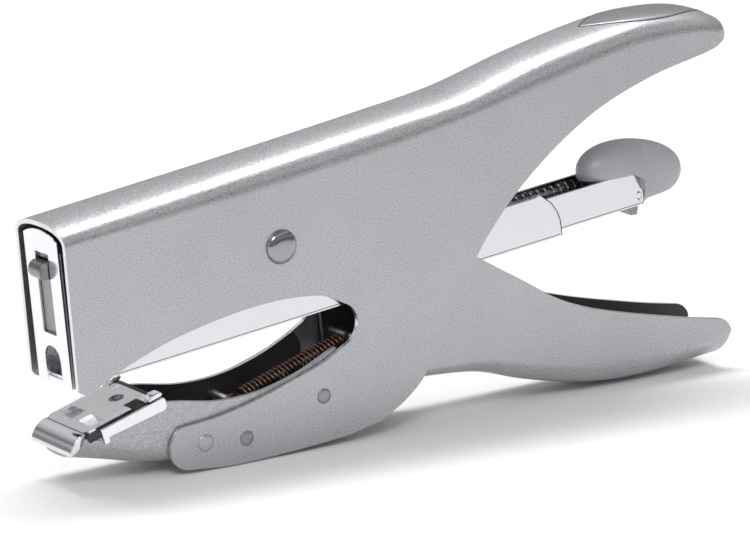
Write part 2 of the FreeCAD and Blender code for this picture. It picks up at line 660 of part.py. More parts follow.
def staple_strip():
    """A strip of glued staples astride the core."""
    wire, half = size("staple_wire"), size("staple_crown") / 2
    top = size("core_top") + 0.05 + wire
    front = BLADE_BACK + 0.1
    bar_shape = block("strip_block", front, front + size("strip_length"), -half, half,
                      top - wire - size("staple_leg"), top)
    inside = block("strip_inside", front - 1, front + size("strip_length") + 1, -half + wire + 0.1,
                   half - wire - 0.1, -50, top - wire)
    keep("staple_strip", combine("Cut", "strip", bar_shape, inside))


def driver_blade():
    """Flat blade that pushes one staple out, with a hole for the tongue."""
    half = size("staple_crown") / 2
    low = MAG_LOW + blade_travel()
    tall, wide, level = size("tongue_height"), size("tongue_width"), size("tongue_level")
    slab = block("blade_slab", FRONT_PLANE + SLIDE / 2, FRONT_PLANE + SLIDE / 2 + size("blade_gauge"),
                 -half, half, low, size("blade_top"))
    hole = block("blade_hole", -NOSE - 9, -NOSE + 9, -wide / 2 - 0.25, wide / 2 + 0.25,
                 level - tall / 2 - 0.4, level + tall / 2 + 0.4)
    keep("driver_blade", combine("Cut", "blade", slab, hole))


def blade_travel():
    """How far the tongue carries the blade down inside the magazine."""
    swing = math.radians(size("squeeze_angle") - size("closing_angle"))
    plane = -FRONT_PLANE - SLIDE
    level = size("tongue_level")
    return level - (level - plane * math.sin(swing)) / math.cos(swing)


# ---- loader -------------------------------------------------------------------------------------

def core_rail():
    """Inner rail that carries the staples and slides out to the rear."""
    low = MAG_LOW + size("magazine_gauge") + SLIDE
    high, end = size("core_top"), size("core_end")
    front = BLADE_BACK + 0.15
    rail = plate("core_side", (front, low),
                 [(end - 0.6, low), (end, low + 0.8), (end, -17.2), ("arc", (end - 1.2, -13), (end - 4,
                                                                                            high)),
                  (front, high)], "Sizes.core_width")
    inner = size("core_width") / 2 - size("magazine_gauge")
    hollow = block("core_hollow", front - 5, end - 0.8, -inner, inner, low + 0.75, high + 5)
    keep("core_rail", cut_all("core", rail, hollow,
                              bar("core_knob_hole", "Sizes.rod_radius", "Sizes.core_width + 10",
                                  KNOB_PIN, Y)))


KNOB_PIN = (116.6, 0, -17.6)


def loader_knob():
    """Smooth knob moulded over the end of the core, with a thumb dish in its rear."""
    end = size("core_end")
    ball = doc.addObject("Part::Ellipsoid", "knob_ball")
    ball.setExpression("Radius2", "Sizes.knob_length/2")
    ball.setExpression("Radius3", "Sizes.knob_width/2")
    ball.setExpression("Radius1", "Sizes.knob_height/2")
    ball.Placement = FreeCAD.Placement(FreeCAD.Vector(end + 1.3, 0, -12.9), FreeCAD.Rotation(Y_AXIS, 13))
    low = MAG_LOW + size("magazine_gauge") + SLIDE
    half = size("core_width") / 2 + 0.02
    socket = block("knob_socket", end - 60, end + 0.02, -half, half, low - 0.02, size("core_top") + 0.02)
    under = block("knob_under", end - 60, end + 60, -20, 20, -50, low)
    keep("loader_knob", cut_all("knob", ball, socket, under,
                                bar("knob_pin_hole", "Sizes.rod_radius", "40", KNOB_PIN, Y)))


def loader_inner():
    """Cross pin of the knob, guide rod with its two end blocks and the catch under the rail."""
    end = size("core_end")
    low = MAG_LOW + 2 * size("magazine_gauge") + SLIDE
    half = size("core_width") / 2 - size("magazine_gauge")
    keep("knob_pin", bar("knob_cross_pin", "Sizes.rod_radius", "Sizes.core_width + 1.6", KNOB_PIN, Y))
    level = size("rod_level")
    rear_block = (end - 6.5, end - 3.5)
    front_block = (-56.0, -53.0)
    blocks = []
    for n, (x0, x1) in enumerate((front_block, rear_block)):
        solid = block("rod_block_%d" % n, x0, x1, -half, half, low, size("core_top") - 0.6)
        hole = bar("rod_block_hole_%d" % n, "Sizes.rod_radius", "20", ((x0 + x1) / 2, 0, level), X)
        blocks.append(combine("Cut", "rod_end_%d" % n, solid, hole))
    keep_group("rod_blocks", blocks)
    rod = doc.addObject("Part::Cylinder", "guide_rod_bar")
    rod.setExpression("Radius", "Sizes.rod_radius")
    rod.Height = rear_block[1] - front_block[0]
    rod.Placement = FreeCAD.Placement(FreeCAD.Vector(front_block[0], 0, level), FreeCAD.Rotation(Z, X))
    keep("guide_rod", rod)
    catch_low = MAG_LOW + size("magazine_gauge") + SLIDE
    keep("core_catch", plate("catch_side", (end - 8, catch_low), [(end - 8, catch_low - 0.7),
                                                                (end - 3.4, catch_low - 0.7),
                                                                (end - 2.6, catch_low - 3.2),
                                                                (end - 0.6, catch_low - 3.4),
                                                                (end + 0.2, catch_low)], "6"))
    spring_start = pusher_front() + size("pusher_length") + 0.2
    coil = doc.addObject("Part::Cylinder", "pusher_coil")
    coil.setExpression("Radius", "Sizes.pusher_spring_radius")
    coil.Height = rear_block[0] - 0.2 - spring_start
    coil.Placement = FreeCAD.Placement(FreeCAD.Vector(spring_start, 0, level), FreeCAD.Rotation(Z, X))
    bore = bar("coil_bore", "Sizes.rod_radius + 0.25", "300", (0, 0, level), X)
    keep("pusher_spring", combine("Cut", "pusher_coil_tube", coil, bore))


def pusher_front():
    """The pusher stands just behind the strip of staples."""
    return BLADE_BACK + 0.1 + size("strip_length") + 0.1


def pusher():
    """Saddle astride the core with a foot on the guide rod inside it."""
    start = pusher_front()
    end = start + size("pusher_length")
    outer = size("staple_crown") / 2
    core = size("core_width") / 2 + SLIDE
    high = size("core_top")
    inner = size("core_width") / 2 - size("magazine_gauge") - 0.15
    low = MAG_LOW + 2 * size("magazine_gauge") + SLIDE + 0.15
    saddle = block("saddle_block", start, end, -outer, outer, high - 6, high + 0.6)
    groove = block("saddle_groove", start - 1, end + 1, -core, core, high - 20, high + 0.05)
    foot = block("pusher_foot", start, end, -inner, inner, low, high + 0.3)
    both = combine("MultiFuse", "pusher_all", combine("Cut", "saddle", saddle, groove), foot)
    bore = bar("pusher_bore", "Sizes.rod_radius + Sizes.running_clearance", "300",
               (0, 0, size("rod_level")), X)
    keep("pusher", combine("Cut", "pusher_solid", both, bore))


# ---- assembly -----------------------------------------------------------------------------------

def build_all():
    casing_and_inlay()
    jaw_arm()
    jaw_fasteners()
    anvil()
    pivot()
    lower_handle()
    driver_arm()
    lever_fasteners()
    return_spring()
    magazine_channel()
    front_plate()
    staple_cover()
    leaf_spring()
    staple_strip()
    driver_blade()
    core_rail()
    loader_knob()
    loader_inner()
    pusher()


def stand_up():
    """Moves every sub-part into the standing frame, its origin under the middle of the part."""
    doc.recompute()
    pitch = turned(PITCH)
    low, front, rear = 1e9, 1e9, -1e9
    for name, piece, local in pieces:
        piece.Placement = pitch.multiply(local)
    doc.recompute()
    for name, piece, local in pieces:
        box = piece.Shape.optimalBoundingBox(True, False)
        low, front, rear = min(low, box.ZMin), min(front, box.XMin), max(rear, box.XMax)
    shift = FreeCAD.Placement(FreeCAD.Vector(-(front + rear) / 2, 0, -low), FreeCAD.Rotation())
    for name, piece, local in pieces:
        piece.Placement = shift.multiply(pitch).multiply(local)
    doc.recompute()
    print("pin", -(front + rear) / 2, -low, "pitch", PITCH, "long", rear - front, "blade", blade_travel())


def export():
    """Checks every object, then writes one file for each sub-part."""
    for item in doc.Objects:
        assert not {"Invalid", "Error"} & set(item.State), item.Name
    os.makedirs("parts", exist_ok=True)
    for name, piece, _ in pieces:
        assert not piece.Shape.isNull() and piece.Shape.isValid() and piece.Shape.Solids, name
        piece.Shape.exportStep("parts/%s.step" % name)
        print(name, len(piece.Shape.Solids), round(piece.Shape.Volume, 1))


build_all()
stand_up()
export()
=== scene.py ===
"""Plier stapler: the visual model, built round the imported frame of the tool."""

import json
import logging
import math
from dataclasses import dataclass, field
from enum import Enum

import bmesh
import bpy
from mathutils import Matrix, Vector


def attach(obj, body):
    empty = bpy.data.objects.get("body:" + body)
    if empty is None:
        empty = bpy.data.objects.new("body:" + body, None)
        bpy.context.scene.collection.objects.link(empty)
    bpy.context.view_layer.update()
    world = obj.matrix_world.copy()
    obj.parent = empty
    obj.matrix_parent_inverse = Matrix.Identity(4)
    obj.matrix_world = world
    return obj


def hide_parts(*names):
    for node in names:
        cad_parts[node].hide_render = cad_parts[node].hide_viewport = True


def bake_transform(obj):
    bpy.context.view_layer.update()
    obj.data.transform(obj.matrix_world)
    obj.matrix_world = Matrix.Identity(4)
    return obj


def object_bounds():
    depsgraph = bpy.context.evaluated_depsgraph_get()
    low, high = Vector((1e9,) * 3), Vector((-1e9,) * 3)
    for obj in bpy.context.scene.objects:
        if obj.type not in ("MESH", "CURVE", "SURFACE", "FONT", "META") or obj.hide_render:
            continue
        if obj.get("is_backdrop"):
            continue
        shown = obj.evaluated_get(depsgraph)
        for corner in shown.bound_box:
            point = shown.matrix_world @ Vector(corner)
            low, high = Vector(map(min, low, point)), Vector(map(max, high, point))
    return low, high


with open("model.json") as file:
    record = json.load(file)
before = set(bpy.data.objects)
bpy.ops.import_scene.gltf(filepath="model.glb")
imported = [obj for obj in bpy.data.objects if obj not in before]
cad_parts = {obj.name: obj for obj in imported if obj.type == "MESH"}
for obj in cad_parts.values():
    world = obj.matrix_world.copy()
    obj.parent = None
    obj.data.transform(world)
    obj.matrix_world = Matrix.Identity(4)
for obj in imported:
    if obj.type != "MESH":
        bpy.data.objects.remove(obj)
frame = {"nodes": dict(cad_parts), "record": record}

MM = 0.001
LOG = logging.getLogger("plier_stapler")

Point2 = tuple[float, float]
Point3 = tuple[float, float, float]
Row = list[bmesh.types.BMVert]


# ---- drawing frame --------------------------------------------------------------------------------

@dataclass(frozen=True)
class DrawingFrame:
    """Frame in which the tool is drawn: origin on the main pin, +X along the magazine, in millimetres."""

    pin: Vector
    pitch: float
    lean: float = 0.0

    @classmethod
    def from_record(cls, record: dict) -> "DrawingFrame":
        """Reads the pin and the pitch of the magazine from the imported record.

        Args:
            record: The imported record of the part.

        Returns:
            The frame in which the tool stands.
        """
        joints = {joint["name"]: joint for joint in record["behaviour"]["joints"]}
        along = joints["loader_slide"]["axis"]
        return cls(Vector(joints["lever_squeeze"]["pos_m"]), math.atan2(along[2], along[0]))

    def tilted(self, degrees: float) -> "DrawingFrame":
        """Returns the same frame with +X raised further about the pin."""
        return DrawingFrame(self.pin, self.pitch, self.lean + math.radians(degrees))

    def place(self, x: float, y: float, z: float) -> Vector:
        """Turns a drawn point in millimetres into a point of the part in metres."""
        angle = self.pitch + self.lean
        across = x * math.cos(angle) - z * math.sin(angle)
        up = x * math.sin(angle) + z * math.cos(angle)
        return self.pin + Vector((across, y, up)) * MM

    def matrix(self) -> Matrix:
        """Returns the matrix from drawn millimetres to metres of the part."""
        turn = Matrix.Rotation(-(self.pitch + self.lean), 4, "Y")
        return Matrix.Translation(self.pin) @ turn @ Matrix.Scale(MM, 4)


DRAWN = DrawingFrame.from_record(frame["record"])
CLOSING_ANGLE = 10.0
JAW = DRAWN.tilted(CLOSING_ANGLE)


# ---- finishes -------------------------------------------------------------------------------------

class Grain(Enum):
    """The fine structure of a surface."""

    SPARKLE = "sparkle"
    SCRATCHED = "scratched"
    DRAWN_WIRE = "drawn_wire"
    MOULDED = "moulded"


NO_STRETCH = (1.0, 1.0, 1.0)
GRAIN_STRETCH = {Grain.SCRATCHED: (14.0, 1.0, 1.0), Grain.DRAWN_WIRE: (6.0, 6.0, 1.0)}
NOISE_DETAIL = 3.0
NOISE_RANGE = (0.3, 0.7)      # the part of the noise's range that is used
CLOUD_SIZE_MM = 18.0
SPARKLE_CLOUD = 0.06          # the share of the cloud in a sparkling paint
PLAIN_CLOUD = 0.3             # the share of the cloud in every other finish


@dataclass(frozen=True)
class Finish:
    """A surface finish with a base colour, its fine grain and a broad cloud.

    The colour varies between two tones with a broad cloud and a fine grain; roughness and bump follow
    the same grain.
    """

    name: str
    light: tuple[float, float, float]
    dark: tuple[float, float, float]
    metallic: float
    roughness: float
    roughness_spread: float = 0.06
    grain: Grain = Grain.SCRATCHED
    grain_size_mm: float = 0.3
    bump: float = 0.05
    bump_depth_mm: float = 0.05

    def _ramp(self, tree: bpy.types.NodeTree, source: bpy.types.NodeSocket,
              low: float, high: float) -> bpy.types.NodeSocket:
        """Maps a noise value to a range of numbers.

        Args:
            tree: The material's node tree.
            source: The noise value.
            low: The lowest result.
            high: The highest result.

        Returns:
            The mapped value.
        """
        node = tree.nodes.new("ShaderNodeMapRange")
        node.inputs["From Min"].default_value, node.inputs["From Max"].default_value = NOISE_RANGE
        node.inputs["To Min"].default_value = low
        node.inputs["To Max"].default_value = high
        tree.links.new(source, node.inputs["Value"])
        return node.outputs["Result"]

    def _noise(self, tree: bpy.types.NodeTree, size_mm: float, stretch: Point3) -> bpy.types.NodeSocket:
        """Adds a noise of a given size in object space.

        Args:
            tree: The material's node tree.
            size_mm: The size of one feature.
            stretch: How much the noise is drawn out along each axis.

        Returns:
            The noise value.
        """
        coordinates = tree.nodes.new("ShaderNodeTexCoord")
        mapping = tree.nodes.new("ShaderNodeMapping")
        mapping.inputs["Scale"].default_value = tuple(1.0 / s for s in stretch)
        noise = tree.nodes.new("ShaderNodeTexNoise")
        noise.inputs["Scale"].default_value = 1.0 / (size_mm * MM)
        noise.inputs["Detail"].default_value = NOISE_DETAIL
        tree.links.new(coordinates.outputs["Object"], mapping.inputs["Vector"])
        tree.links.new(mapping.outputs["Vector"], noise.inputs["Vector"])
        return noise.outputs["Fac"]

    def material(self) -> bpy.types.Material:
        """Returns the finish as a material, made once."""
        made = bpy.data.materials.get(self.name)
        if made is not None:
            return made
        made = bpy.data.materials.new(self.name)
        made.use_nodes = True
        tree = made.node_tree
        shader = tree.nodes["Principled BSDF"]
        shader.inputs["Metallic"].default_value = self.metallic
        fine = self._noise(tree, self.grain_size_mm, GRAIN_STRETCH.get(self.grain, NO_STRETCH))
        cloud = self._noise(tree, CLOUD_SIZE_MM, NO_STRETCH)
        blend = tree.nodes.new("ShaderNodeMix")
        blend.data_type = "RGBA"
        blend.inputs["A"].default_value = (*self.dark, 1.0)
        blend.inputs["B"].default_value = (*self.light, 1.0)
        both = tree.nodes.new("ShaderNodeMath")
        both.operation = "MULTIPLY_ADD"
        both.inputs[1].default_value = SPARKLE_CLOUD if self.grain is Grain.SPARKLE else PLAIN_CLOUD
        tree.links.new(self._ramp(tree, cloud, 0.0, 1.0), both.inputs[0])
        tree.links.new(self._ramp(tree, fine, 0.0, 0.65), both.inputs[2])
        tree.links.new(both.outputs[0], blend.inputs["Factor"])
        tree.links.new(blend.outputs["Result"], shader.inputs["Base Color"])
        rough = self._ramp(tree, fine, self.roughness - self.roughness_spread,
                           self.roughness + self.roughness_spread)
        tree.links.new(rough, shader.inputs["Roughness"])
        relief = tree.nodes.new("ShaderNodeBump")
        relief.inputs["Strength"].default_value = self.bump
        relief.inputs["Distance"].default_value = self.bump_depth_mm * MM
        tree.links.new(fine, relief.inputs["Height"])
        tree.links.new(relief.outputs["Normal"], shader.inputs["Normal"])
        return made


SILVER_PAINT = Finish("silver_sparkle_paint", (0.72, 0.725, 0.74), (0.33, 0.335, 0.35), 0.78, 0.35, 0.08,
                      Grain.SPARKLE, 0.40, 0.45, 0.10)
INLAY_PAINT = Finish("inlay_satin_paint", (0.44, 0.445, 0.46), (0.28, 0.285, 0.30), 0.85, 0.34, 0.06,
                     Grain.SPARKLE, 0.30, 0.45, 0.10)
RAW_EDGE = Finish("bright_sheet_edge", (0.80, 0.80, 0.82), (0.60, 0.60, 0.62), 0.85, 0.25, 0.05,
                  Grain.SCRATCHED, 0.4, 0.10, 0.03)
NICKEL = Finish("bright_nickel", (0.72, 0.73, 0.75), (0.66, 0.67, 0.69), 1.0, 0.10, 0.02,
                Grain.SCRATCHED, 0.12, 0.04, 0.01)
SATIN_NICKEL = Finish("satin_nickel", (0.88, 0.885, 0.90), (0.74, 0.75, 0.77), 1.0, 0.19, 0.04,
                      Grain.SCRATCHED, 0.35, 0.20, 0.03)
ZINC = Finish("zinc_plate", (0.80, 0.81, 0.83), (0.58, 0.59, 0.62), 1.0, 0.30, 0.08,
              Grain.SCRATCHED, 0.6, 0.25, 0.04)
SPRING_STEEL = Finish("oiled_spring_steel", (0.36, 0.36, 0.37), (0.20, 0.20, 0.21), 1.0, 0.34, 0.08,
                      Grain.SCRATCHED, 0.5, 0.25, 0.04)
# Copper-washed wire: its own brown, darkened further as painted shade for the return spring inside the jaw;
# the staples share it.
DARKENED_COPPER_WIRE = Finish("copper_wire_darkened_for_shade", (0.26, 0.155, 0.105), (0.13, 0.08, 0.06), 1.0, 0.34, 0.07,
                     Grain.DRAWN_WIRE, 0.4, 0.20, 0.03)
GREY_MOULDING = Finish("light_grey_moulding", (0.43, 0.44, 0.465), (0.37, 0.38, 0.405), 0.0, 0.34, 0.04,
                       Grain.MOULDED, 0.5, 0.08, 0.03)
POLISHED_HEAD = Finish("polished_head", (0.36, 0.365, 0.38), (0.30, 0.305, 0.32), 1.0, 0.07, 0.02,
                       Grain.SCRATCHED, 0.15, 0.04, 0.01)
RIVET_STEEL = Finish("satin_rivet", (0.40, 0.405, 0.42), (0.26, 0.265, 0.28), 0.9, 0.36, 0.06,
                     Grain.SCRATCHED, 0.4, 0.20, 0.03)
# Near black that stands for painted shade: inside the handle and jaw troughs, in the groove under the anvil
# plate, and along the channels' sheared ends and folds.
PAINTED_SHADE_FINISH = Finish("painted_shade_near_black", (0.050, 0.051, 0.055), (0.024, 0.024, 0.027), 0.1, 0.52, 0.06,
                     Grain.MOULDED, 0.4, 0.15, 0.03)
DARK_SEAM = Finish("dark_seam", (0.05, 0.05, 0.055), (0.02, 0.02, 0.02), 0.0, 0.6, 0.05,
                   Grain.MOULDED, 0.5, 0.05, 0.02)
PALE_FLOOR = Finish("pale_floor", (0.93, 0.93, 0.93), (0.90, 0.90, 0.90), 0.0, 0.75, 0.05,
                    Grain.MOULDED, 2.0, 0.02, 0.05)


# ---- mesh helpers ---------------------------------------------------------------------------------

def smooth_value(x: float, knots: list[tuple[float, ...]], column: int) -> float:
    """Reads a smooth line through knots.

    Args:
        x: The place along the line.
        knots: Points whose first number is x, in order.
        column: Which number of a knot is read.

    Returns:
        The value at x, with an even slope through each knot.
    """
    last = len(knots) - 1
    index = max(0, min(last - 1, sum(1 for knot in knots[1:] if knot[0] < x)))

    def slope(k: int) -> float:
        """Returns the slope at knot k."""
        before, after = knots[max(0, k - 1)], knots[min(last, k + 1)]
        return (after[column] - before[column]) / (after[0] - before[0])

    low, high = knots[index], knots[index + 1]
    span = high[0] - low[0]
    t = (x - low[0]) / span
    level = (2 * t ** 3 - 3 * t ** 2 + 1) * low[column] + (3 * t ** 2 - 2 * t ** 3) * high[column]
    lift = (t ** 3 - 2 * t ** 2 + t) * slope(index) + (t ** 3 - t ** 2) * slope(index + 1)
    return level + span * lift


@dataclass
class Outline:
    """A flat outline drawn step by step and sampled at an even spacing."""

    start: Point2
    spacing: float = 1.2
    points: list[Point2] = field(default_factory=list)

    def __post_init__(self) -> None:
        """Puts the start on the outline."""
        self.points = [self.start]

    def line(self, *corners: Point2) -> "Outline":
        """Adds straight runs to each corner in turn."""
        for corner in corners:
            here = self.points[-1]
            count = max(1, round(math.dist(here, corner) / (4 * self.spacing)))
            for n in range(1, count + 1):
                t = n / count
                self.points.append((here[0] + (corner[0] - here[0]) * t,
                                    here[1] + (corner[1] - here[1]) * t))
        return self

    def arc(self, via: Point2, end: Point2) -> "Outline":
        """Adds an arc through a point to an end.

        Args:
            via: A point on the arc.
            end: The arc's end.

        Returns:
            The outline itself.
        """
        (ax, ay), (bx, by), (cx, cy) = self.points[-1], via, end
        d = 2 * (ax * (by - cy) + bx * (cy - ay) + cx * (ay - by))
        ux = ((ax * ax + ay * ay) * (by - cy) + (bx * bx + by * by) * (cy - ay)
              + (cx * cx + cy * cy) * (ay - by)) / d
        uy = ((ax * ax + ay * ay) * (cx - bx) + (bx * bx + by * by) * (ax - cx)
              + (cx * cx + cy * cy) * (bx - ax)) / d
        radius = math.dist((ux, uy), via)
        first = math.atan2(ay - uy, ax - ux)
        middle = (math.atan2(by - uy, bx - ux) - first) % math.tau
        sweep = (math.atan2(cy - uy, cx - ux) - first) % math.tau
        if middle > sweep:
            sweep -= math.tau
        count = max(4, round(abs(sweep) * radius / (0.6 * self.spacing)))
        for n in range(1, count + 1):
            angle = first + sweep * n / count
            self.points.append((ux + radius * math.cos(angle), uy + radius * math.sin(angle)))
        return self

    def curve(self, *through: Point2) -> "Outline":
        """Adds a smooth curve through points."""
        knots = [self.points[-1], *through]
        steps = [0.0]
        for a, b in zip(knots, knots[1:]):
            steps.append(steps[-1] + math.dist(a, b))
        table = [(s, *k) for s, k in zip(steps, knots)]
        count = max(4, round(steps[-1] / self.spacing))
        for n in range(1, count + 1):
            s = steps[-1] * n / count
            self.points.append((smooth_value(s, table, 1), smooth_value(s, table, 2)))
        return self


WIRE_SIDES = 8


class MeshBuilder:
    """Collects vertices and faces in drawn millimetres and turns them into an object."""

    def __init__(self, place: DrawingFrame = DRAWN) -> None:
        """Starts an empty mesh in a drawing frame."""
        self.place = place
        self.mesh = bmesh.new()

    def vertex(self, x: float, y: float, z: float) -> bmesh.types.BMVert:
        """Adds one vertex."""
        return self.mesh.verts.new((x, y, z))

    def face(self, vertices: Row) -> None:
        """Adds one face unless its corners coincide."""
        unique = list(dict.fromkeys(vertices))
        if len(unique) >= 3 and self.mesh.faces.get(unique) is None:
            self.mesh.faces.new(unique)

    def strip(self, rows: list[Row], closed: bool = False) -> None:
        """Joins rows of vertices with quads.

        Args:
            rows: Rows with the same number of vertices each.
            closed: Whether each row is a ring.
        """
        for before, after in zip(rows, rows[1:]):
            count = len(before)
            for n in range(count if closed else count - 1):
                m = (n + 1) % count
                self.face([before[n], before[m], after[m], after[n]])

    def prism(self, outline: list[Point2], y0: float, y1: float) -> None:
        """Adds a closed plate from a side outline between two levels across the tool."""
        near = [self.vertex(x, y0, z) for x, z in outline]
        far = [self.vertex(x, y1, z) for x, z in outline]
        self.face(near)
        self.face(far[::-1])
        for n in range(len(near)):
            m = (n + 1) % len(near)
            self.face([near[n], far[n], far[m], near[m]])

    def _tube_of(self, rings: list[Row]) -> None:
        """Joins rings into one skin and closes its two ends."""
        self.strip(rings, closed=True)
        self.face(rings[0])
        self.face(rings[-1])

    def turned(self, centre: Point3, profile: list[Point2], axis: Vector, sides: int) -> None:
        """Adds a body of revolution.

        Args:
            centre: The start of the axis.
            profile: Pairs of radius and distance along the axis.
            axis: The axis in the drawing frame.
            sides: The number of sides.
        """
        along = axis.normalized()
        side = along.orthogonal().normalized()
        other = along.cross(side)
        origin = Vector(centre)
        rings = []
        for radius, distance in profile:
            base = origin + along * distance
            if radius < 1e-6:
                tip = self.vertex(*base)
                rings.append([tip] * sides)
                continue
            rings.append([self.vertex(*(base + (side * math.cos(a) + other * math.sin(a)) * radius))
                          for a in (math.tau * n / sides for n in range(sides))])
        self._tube_of(rings)

    def heads(self, x: float, z: float, face: float, profile: list[Point2], sides: int) -> None:
        """Adds the same turned head on both sides, starting at a distance from the middle."""
        for side in (-1, 1):
            self.turned((x, side * face, z), profile, Vector((0, side, 0)), sides)

    def tube(self, path: list[Vector], radius: float) -> None:
        """Adds a round wire along a path, closed at its ends.

        Args:
            path: The wire's centre line.
            radius: The wire's radius.
        """
        normal = (path[1] - path[0]).orthogonal().normalized()
        rings = []
        for n, here in enumerate(path):
            ahead = (path[min(n + 1, len(path) - 1)] - path[max(n - 1, 0)]).normalized()
            normal = (normal - ahead * normal.dot(ahead)).normalized()
            other = ahead.cross(normal)
            rings.append([self.vertex(*(here + (normal * math.cos(a) + other * math.sin(a)) * radius))
                          for a in (math.tau * k / WIRE_SIDES for k in range(WIRE_SIDES))])
        self._tube_of(rings)

    def object(self, name: str, fix_normals: bool = True) -> bpy.types.Object:
        """Closes the mesh and returns it as an object in the part's frame.

        Args:
            name: The object's name.
            fix_normals: Whether faces are turned to point outwards.

        Returns:
            The new object.
        """
        if fix_normals:
            bmesh.ops.recalc_face_normals(self.mesh, faces=self.mesh.faces[:])
        self.mesh.transform(self.place.matrix())
        data = bpy.data.meshes.new(name)
        self.mesh.to_mesh(data)
        self.mesh.free()
        data.shade_smooth()
        made = bpy.data.objects.new(name, data)
        bpy.context.scene.collection.objects.link(made)
        return made


def soften(piece: bpy.types.Object, width_mm: float, angle: float) -> None:
    """Rounds sharp edges and keeps large faces flat in shading.

    Args:
        piece: The object to soften.
        width_mm: The width of the rounding.
        angle: The smallest angle that is rounded, in degrees.
    """
    bevel = piece.modifiers.new("edge_round", "BEVEL")
    bevel.width = width_mm * MM
    bevel.segments = 2
    bevel.limit_method = "ANGLE"
    bevel.angle_limit = math.radians(angle)
    bevel.use_clamp_overlap = True
    weighted = piece.modifiers.new("flat_faces", "WEIGHTED_NORMAL")
    weighted.keep_sharp = False
    weighted.weight = 60


def dress(piece: bpy.types.Object, *finishes: Finish) -> None:
    """Gives a piece its finishes, one per material slot."""
    piece.data.materials.clear()
    for finish in finishes:
        piece.data.materials.append(finish.material())


def settle(piece: bpy.types.Object, body: str, slot: str, *nodes: str) -> None:
    """Puts a finished piece on its body in place of the nodes it stands for.

    Args:
        piece: The finished piece.
        body: The body that it moves with.
        slot: The record's material slot; not used.
        nodes: The nodes that it replaces.
    """
    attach(piece, body)
    if nodes:
        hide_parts(*nodes)
    LOG.info("%s rides on %s", piece.name, body)


def hand_over(builder: MeshBuilder, name: str, finish: Finish, body: str, slot: str, *nodes: str,
              rounding: Point2 | None = None) -> None:
    """Turns a finished mesh into a dressed piece and puts it on its body.

    Args:
        builder: The mesh.
        name: The piece's name.
        finish: The piece's finish.
        body: The body that it moves with.
        slot: The record's material slot.
        nodes: The nodes that it replaces.
        rounding: Width of the rounded edges in millimetres and the smallest angle that is rounded.
    """
    piece = builder.object(name)
    dress(piece, finish)
    if rounding:
        soften(piece, *rounding)
    settle(piece, body, slot, *nodes)


def bake_modifiers(piece: bpy.types.Object) -> None:
    """Replaces a piece's mesh by what its modifiers give."""
    graph = bpy.context.evaluated_depsgraph_get()
    graph.update()
    made = bpy.data.meshes.new_from_object(piece.evaluated_get(graph), depsgraph=graph)
    old = piece.data
    piece.modifiers.clear()
    piece.data = made
    bpy.data.meshes.remove(old)


def carve(piece: bpy.types.Object, tool: bpy.types.Object) -> None:
    """Cuts the shape of a tool from a piece for good and removes the tool."""
    cut = piece.modifiers.new("carved", "BOOLEAN")
    cut.operation = "DIFFERENCE"
    cut.solver = "EXACT"
    cut.object = tool
    bake_modifiers(piece)
    bpy.data.objects.remove(tool)


# ---- folded sheets --------------------------------------------------------------------------------

PAINTED_GAUGE = 1.2        # painted sheet of casing, handle and jaw
CASING_HALF = 11.2         # half the width over the cheeks
HANDLE_HALF = 9.6
JAW_HALF = 9.8
CORNER_SHARPNESS = 2.4     # power of the rounded crown: 2 is an ellipse, more is squarer
SLANT_REACH = 12.0         # length over which a slanted end dies away
TIP_STATIONS = 16          # sections over a rounded end
NO_TAPER = 1e9
SHEET_EDGE = 0.3           # rounding of a sheet's edges
SHEET_ANGLE = 50.0         # smallest angle, in degrees, that is rounded on a sheet


